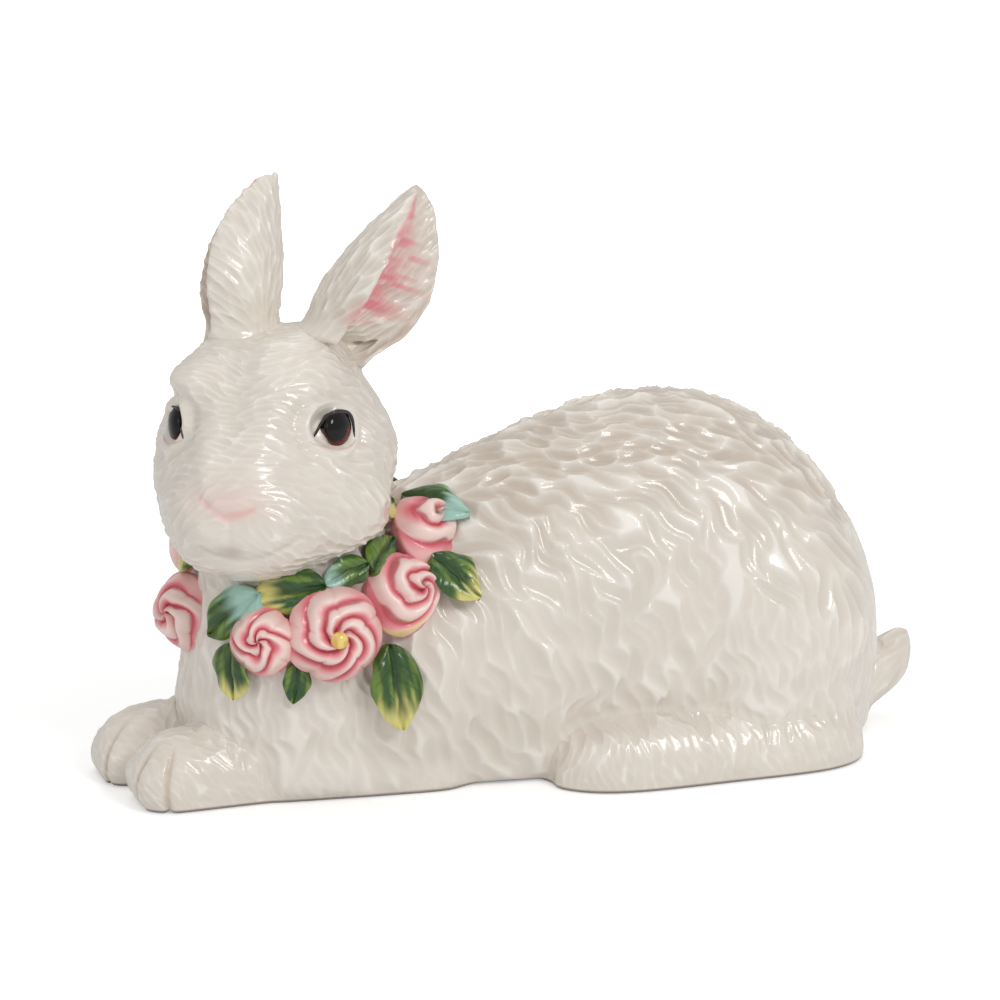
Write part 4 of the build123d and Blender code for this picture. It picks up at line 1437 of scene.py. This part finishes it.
def build_leaf(index, name, angle, height, long, broad, reach, turn, rise, heading, tip, tip_share):
    """A pressed leaf with a folded midrib, side veins and a nicked edge."""
    length, width = long * LEAF_LENGTH, broad * LEAF_WIDTH
    root, ahead, aside, out = leaf_axes(angle, height, length, reach, turn, rise, heading)
    rows, columns = ((64, 36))
    u = np.linspace(0.0, 1.0, rows)[:, None]
    v = np.sin(np.linspace(-1, 1, columns) * math.pi / 2)[None, :]
    beside = np.abs(v)
    half = width / 2 * (np.sin(math.pi * u ** 0.86) ** 0.62 * 1.04 + 0.03)
    nick = 0.035 * np.sin(4.6 * math.pi * u ** 0.9 + index) * smooth(0.1, 0.3, u)
    curl = grid_noise(4 * u, index, 0, 1.0, 3)
    half = half * (1 + nick + 0.05 * curl)
    x = length * u + 0.0 * v
    y = half * v + 0.05 * width * curl * np.sin(math.pi * u)
    bow = np.sqrt(LEAF_ARCH ** 2 - (x - length / 2) ** 2) - math.sqrt(LEAF_ARCH ** 2 - length ** 2 / 4)
    gull = 0.10 * width * (1 - (2 * beside - 1) ** 2) - 0.02 * width * beside
    vein = np.clip(np.cos(2 * math.pi * (5.5 * u - 1.6 * beside)), 0, 1) ** 6
    vein = vein * smooth(0.05, 0.25, beside) * smooth(1.0, 0.7, beside)
    rib = np.exp(-(v / 0.10) ** 2)
    ruffle = 0.06 * width * beside ** 2 * np.sin(9.0 * u + 2.0 * np.sign(v) + index)
    z = bow + gull - 0.50 * rib - 0.24 * vein + ruffle
    z = z + 0.12 * grid_noise(x, y, 7 * index, 3.0, 5)
    thick = LEAF_THICK * (0.95 - 0.55 * beside ** 3) * (0.55 + 0.45 * np.sin(math.pi * u) ** 0.5)
    pad = LEAF_PAD * smooth(0.75, 0.35, beside) * smooth(0.02, 0.18, u) * smooth(0.80, 0.62, u)
    top = np.stack([x, y, z], axis=2)
    bottom = np.stack([x, y * (1 - 0.1 * beside), z - thick - pad], axis=2)[:, ::-1]
    local, faces = closed_rings(np.concatenate([top, bottom], axis=1))
    points = root + local[:, :1] * ahead + local[:, 1:2] * aside + local[:, 2:] * out
    points = bed(points, LEAF_BED)
    brush = grid_noise(0.16 * x - 0.35 * np.abs(y), y * 0.8, 11 * index, 1.3, 2)
    painted = paint_leaf(u, v, rib, vein, brush, tip, tip_share)
    # the underside takes the top's colours, painted darker as painted shade
    painted = np.concatenate([painted, painted[:, ::-1] * 0.8], axis=1).reshape(-1, 3)
    thing = make_object(name + "_glazed", points, faces, painted)
    dress(thing, name, leaf_glaze)


# name, angle, height, length, width, reach, turn, rise, heading, tip colour and its share
leaf_places_share = [
    ("leaf_front_low", -105.0, -0.17, 0.50, 0.48, 0.98, 0.0, -8.0, -97.0, None, 0.0),
    ("leaf_front_hanging", -58.0, -0.44, 1.00, 1.00, 1.02, -25.0, 0.0, -84.0, TIP_YELLOW, 0.30),
    ("leaf_right_hanging", -140.0, 0.06, 0.66, 0.80, 0.97, 0.0, -8.0, -86.0, TIP_YELLOW, 0.34),
    ("leaf_right_curled", -124.0, 0.44, 0.86, 0.88, 0.91, 0.0, 14.0, -142.0, TIP_TEAL, -0.46),
    ("leaf_front_long", -90.0, 0.36, 0.84, 0.84, 0.94, 0.0, 14.0, -176.0, TIP_YELLOW, 0.36),
    ("leaf_front_short", -66.0, 0.32, 0.58, 0.62, 0.94, 0.0, 16.0, -166.0, TIP_TEAL, 0.30),
    ("leaf_left_small", -64.0, 0.24, 0.62, 0.74, 0.98, 0.0, 18.0, 32.0, None, 0.0),
    ("leaf_left_shoulder", -29.0, -0.13, 0.74, 0.90, 1.09, -50.0, 35.0, -58.0, TIP_YELLOW, 0.30),
    ("leaf_left_nape", 2.0, 0.05, 0.86, 0.94, 0.84, -78.0, 46.0, -52.0, TIP_TEAL, 0.40),
    ("leaf_left_cheek", -16.0, 0.34, 0.46, 0.50, 0.94, 0.0, 30.0, 176.0, TIP_YELLOW, 0.8),
    ("leaf_right_chest", 178.0, 0.40, 0.62, 0.62, 0.90, 0.0, 14.0, 160.0, TIP_YELLOW, 1.0),
    ("leaf_right_low", 148.0, 0.00, 0.66, 0.74, 1.00, 0.0, -4.0, -100.0, TIP_YELLOW, 0.3),
    ("leaf_right_shoulder", 120.0, -0.10, 0.80, 0.84, 1.02, 0.0, 12.0, -70.0, TIP_TEAL, 0.3),
    ("leaf_nape_right", 80.0, 0.26, 0.86, 0.84, 0.98, 0.0, 36.0, 30.0, TIP_YELLOW, 0.3),
    ("leaf_nape_low", 76.0, -0.10, 0.80, 0.84, 1.14, 0.0, 26.0, -80.0, None, 0.0),
    ("leaf_nape_middle", 62.0, 0.06, 0.76, 0.84, 1.04, 0.0, 60.0, 176.0, TIP_TEAL, 0.3),
    ("leaf_nape_left", 38.0, 0.10, 0.80, 0.84, 1.24, 14.0, 72.0, -84.0, TIP_YELLOW, 0.3),
]
for index, row in enumerate(leaf_places_share):
    build_leaf(index, *row)

# Stage

def area_light(name, place, aim, size, power):
    """A rectangular lamp that looks at a point."""
    data = bpy.data.lights.new(name, "AREA")
    data.shape = "RECTANGLE"
    data.size, data.size_y = size
    data.energy = power
    thing = bpy.data.objects.new(name, data)
    bpy.context.scene.collection.objects.link(thing)
    thing.location = place
    thing.rotation_euler = (Vector(aim) - Vector(place)).to_track_quat("-Z", "Y").to_euler()


WHITE = (1, 1, 1, 1)
WORLD_LIGHT = 0.59


def studio_world():
    """A world that lights the object softly and is plain white to the camera."""
    world = bpy.data.worlds.new("studio")
    bpy.context.scene.world = world
    tree = node_tree(world)
    lighting = tree.nodes["Background"]
    fill_sockets(tree, lighting, {"Color": WHITE, "Strength": WORLD_LIGHT})
    fill_sockets(tree, tree.nodes["World Output"], {"Surface": add_node(tree, "MixShader", {
        "Fac": add_node(tree, "LightPath", {}, "Is Camera Ray"),
        1: lighting.outputs["Background"],
        2: add_node(tree, "Background", {"Color": WHITE, "Strength": 1.0}, "Background"),
    }, "Shader")})


def add_floor():
    """A pale floor in metres, which brightens to plain white away from the object."""
    bpy.ops.mesh.primitive_plane_add(size=8.0, location=(0, 0, 0))
    floor = bpy.context.object
    floor.name = "floor"
    material = bpy.data.materials.new("floor_white")
    tree = node_tree(material)
    place = add_node(tree, "NewGeometry", {}, "Position")
    away = add_node(tree, "VectorMath", {0: place}, "Value", operation="LENGTH")
    lift = map_range(tree, away, (0.15, 0.9), (0.36, 1.0), interpolation_type="SMOOTHSTEP")
    seen = add_node(tree, "LightPath", {}, "Is Camera Ray")
    fill_sockets(tree, tree.nodes["Principled BSDF"], {
        "Base Color": (0.9, 0.9, 0.9, 1),
        "Roughness": 0.7,
        "Emission Color": WHITE,
        "Emission Strength": add_node(tree, "Math", {0: lift, 1: seen}, "Value",
                                      operation="MULTIPLY"),
    })
    floor.data.materials.append(material)
    floor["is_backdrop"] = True


area_light("key_light", (0.5, -1.7, 1.35), (0, 0, 0.08), (0.6, 0.6), 13.5)
area_light("fill_light", (-1.5, -1.1, 0.9), (0, 0, 0.1), (1.0, 0.8), 2.4)
area_light("top_light", (0.1, 0.4, 1.7), (0, 0, 0.1), (1.2, 0.8), 3.5)
studio_world()
add_floor()

CAMERA_WAY = np.array([-0.31722, -0.92129, 0.22495])  # from the object to the camera
CAMERA_AIM = np.array([0, 0, 0.105])
CAMERA_AWAY = 1.3


def add_camera():
    """The camera at the photograph's viewing angle."""
    data = bpy.data.cameras.new("camera")
    data.lens = 117.0
    data.sensor_width = 36.0
    camera = bpy.data.objects.new("camera", data)
    bpy.context.scene.collection.objects.link(camera)
    camera.location = CAMERA_AIM + CAMERA_WAY * CAMERA_AWAY
    camera.rotation_euler = Vector(-CAMERA_WAY).to_track_quat("-Z", "Y").to_euler()
    bpy.context.scene.camera = camera


add_camera()
bpy.context.scene.view_settings.view_transform = "Standard"

size_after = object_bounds()


def plain(value):
    """Bounds as plain lists."""
    if isinstance(value, dict):
        return {key: plain(item) for key, item in value.items()}
    if isinstance(value, (list, tuple, np.ndarray, Vector)):
        return [plain(item) for item in value]
    return value if isinstance(value, (int, float, str)) or value is None else float(value)


{"before": plain(size_before), "after": plain(size_after)}
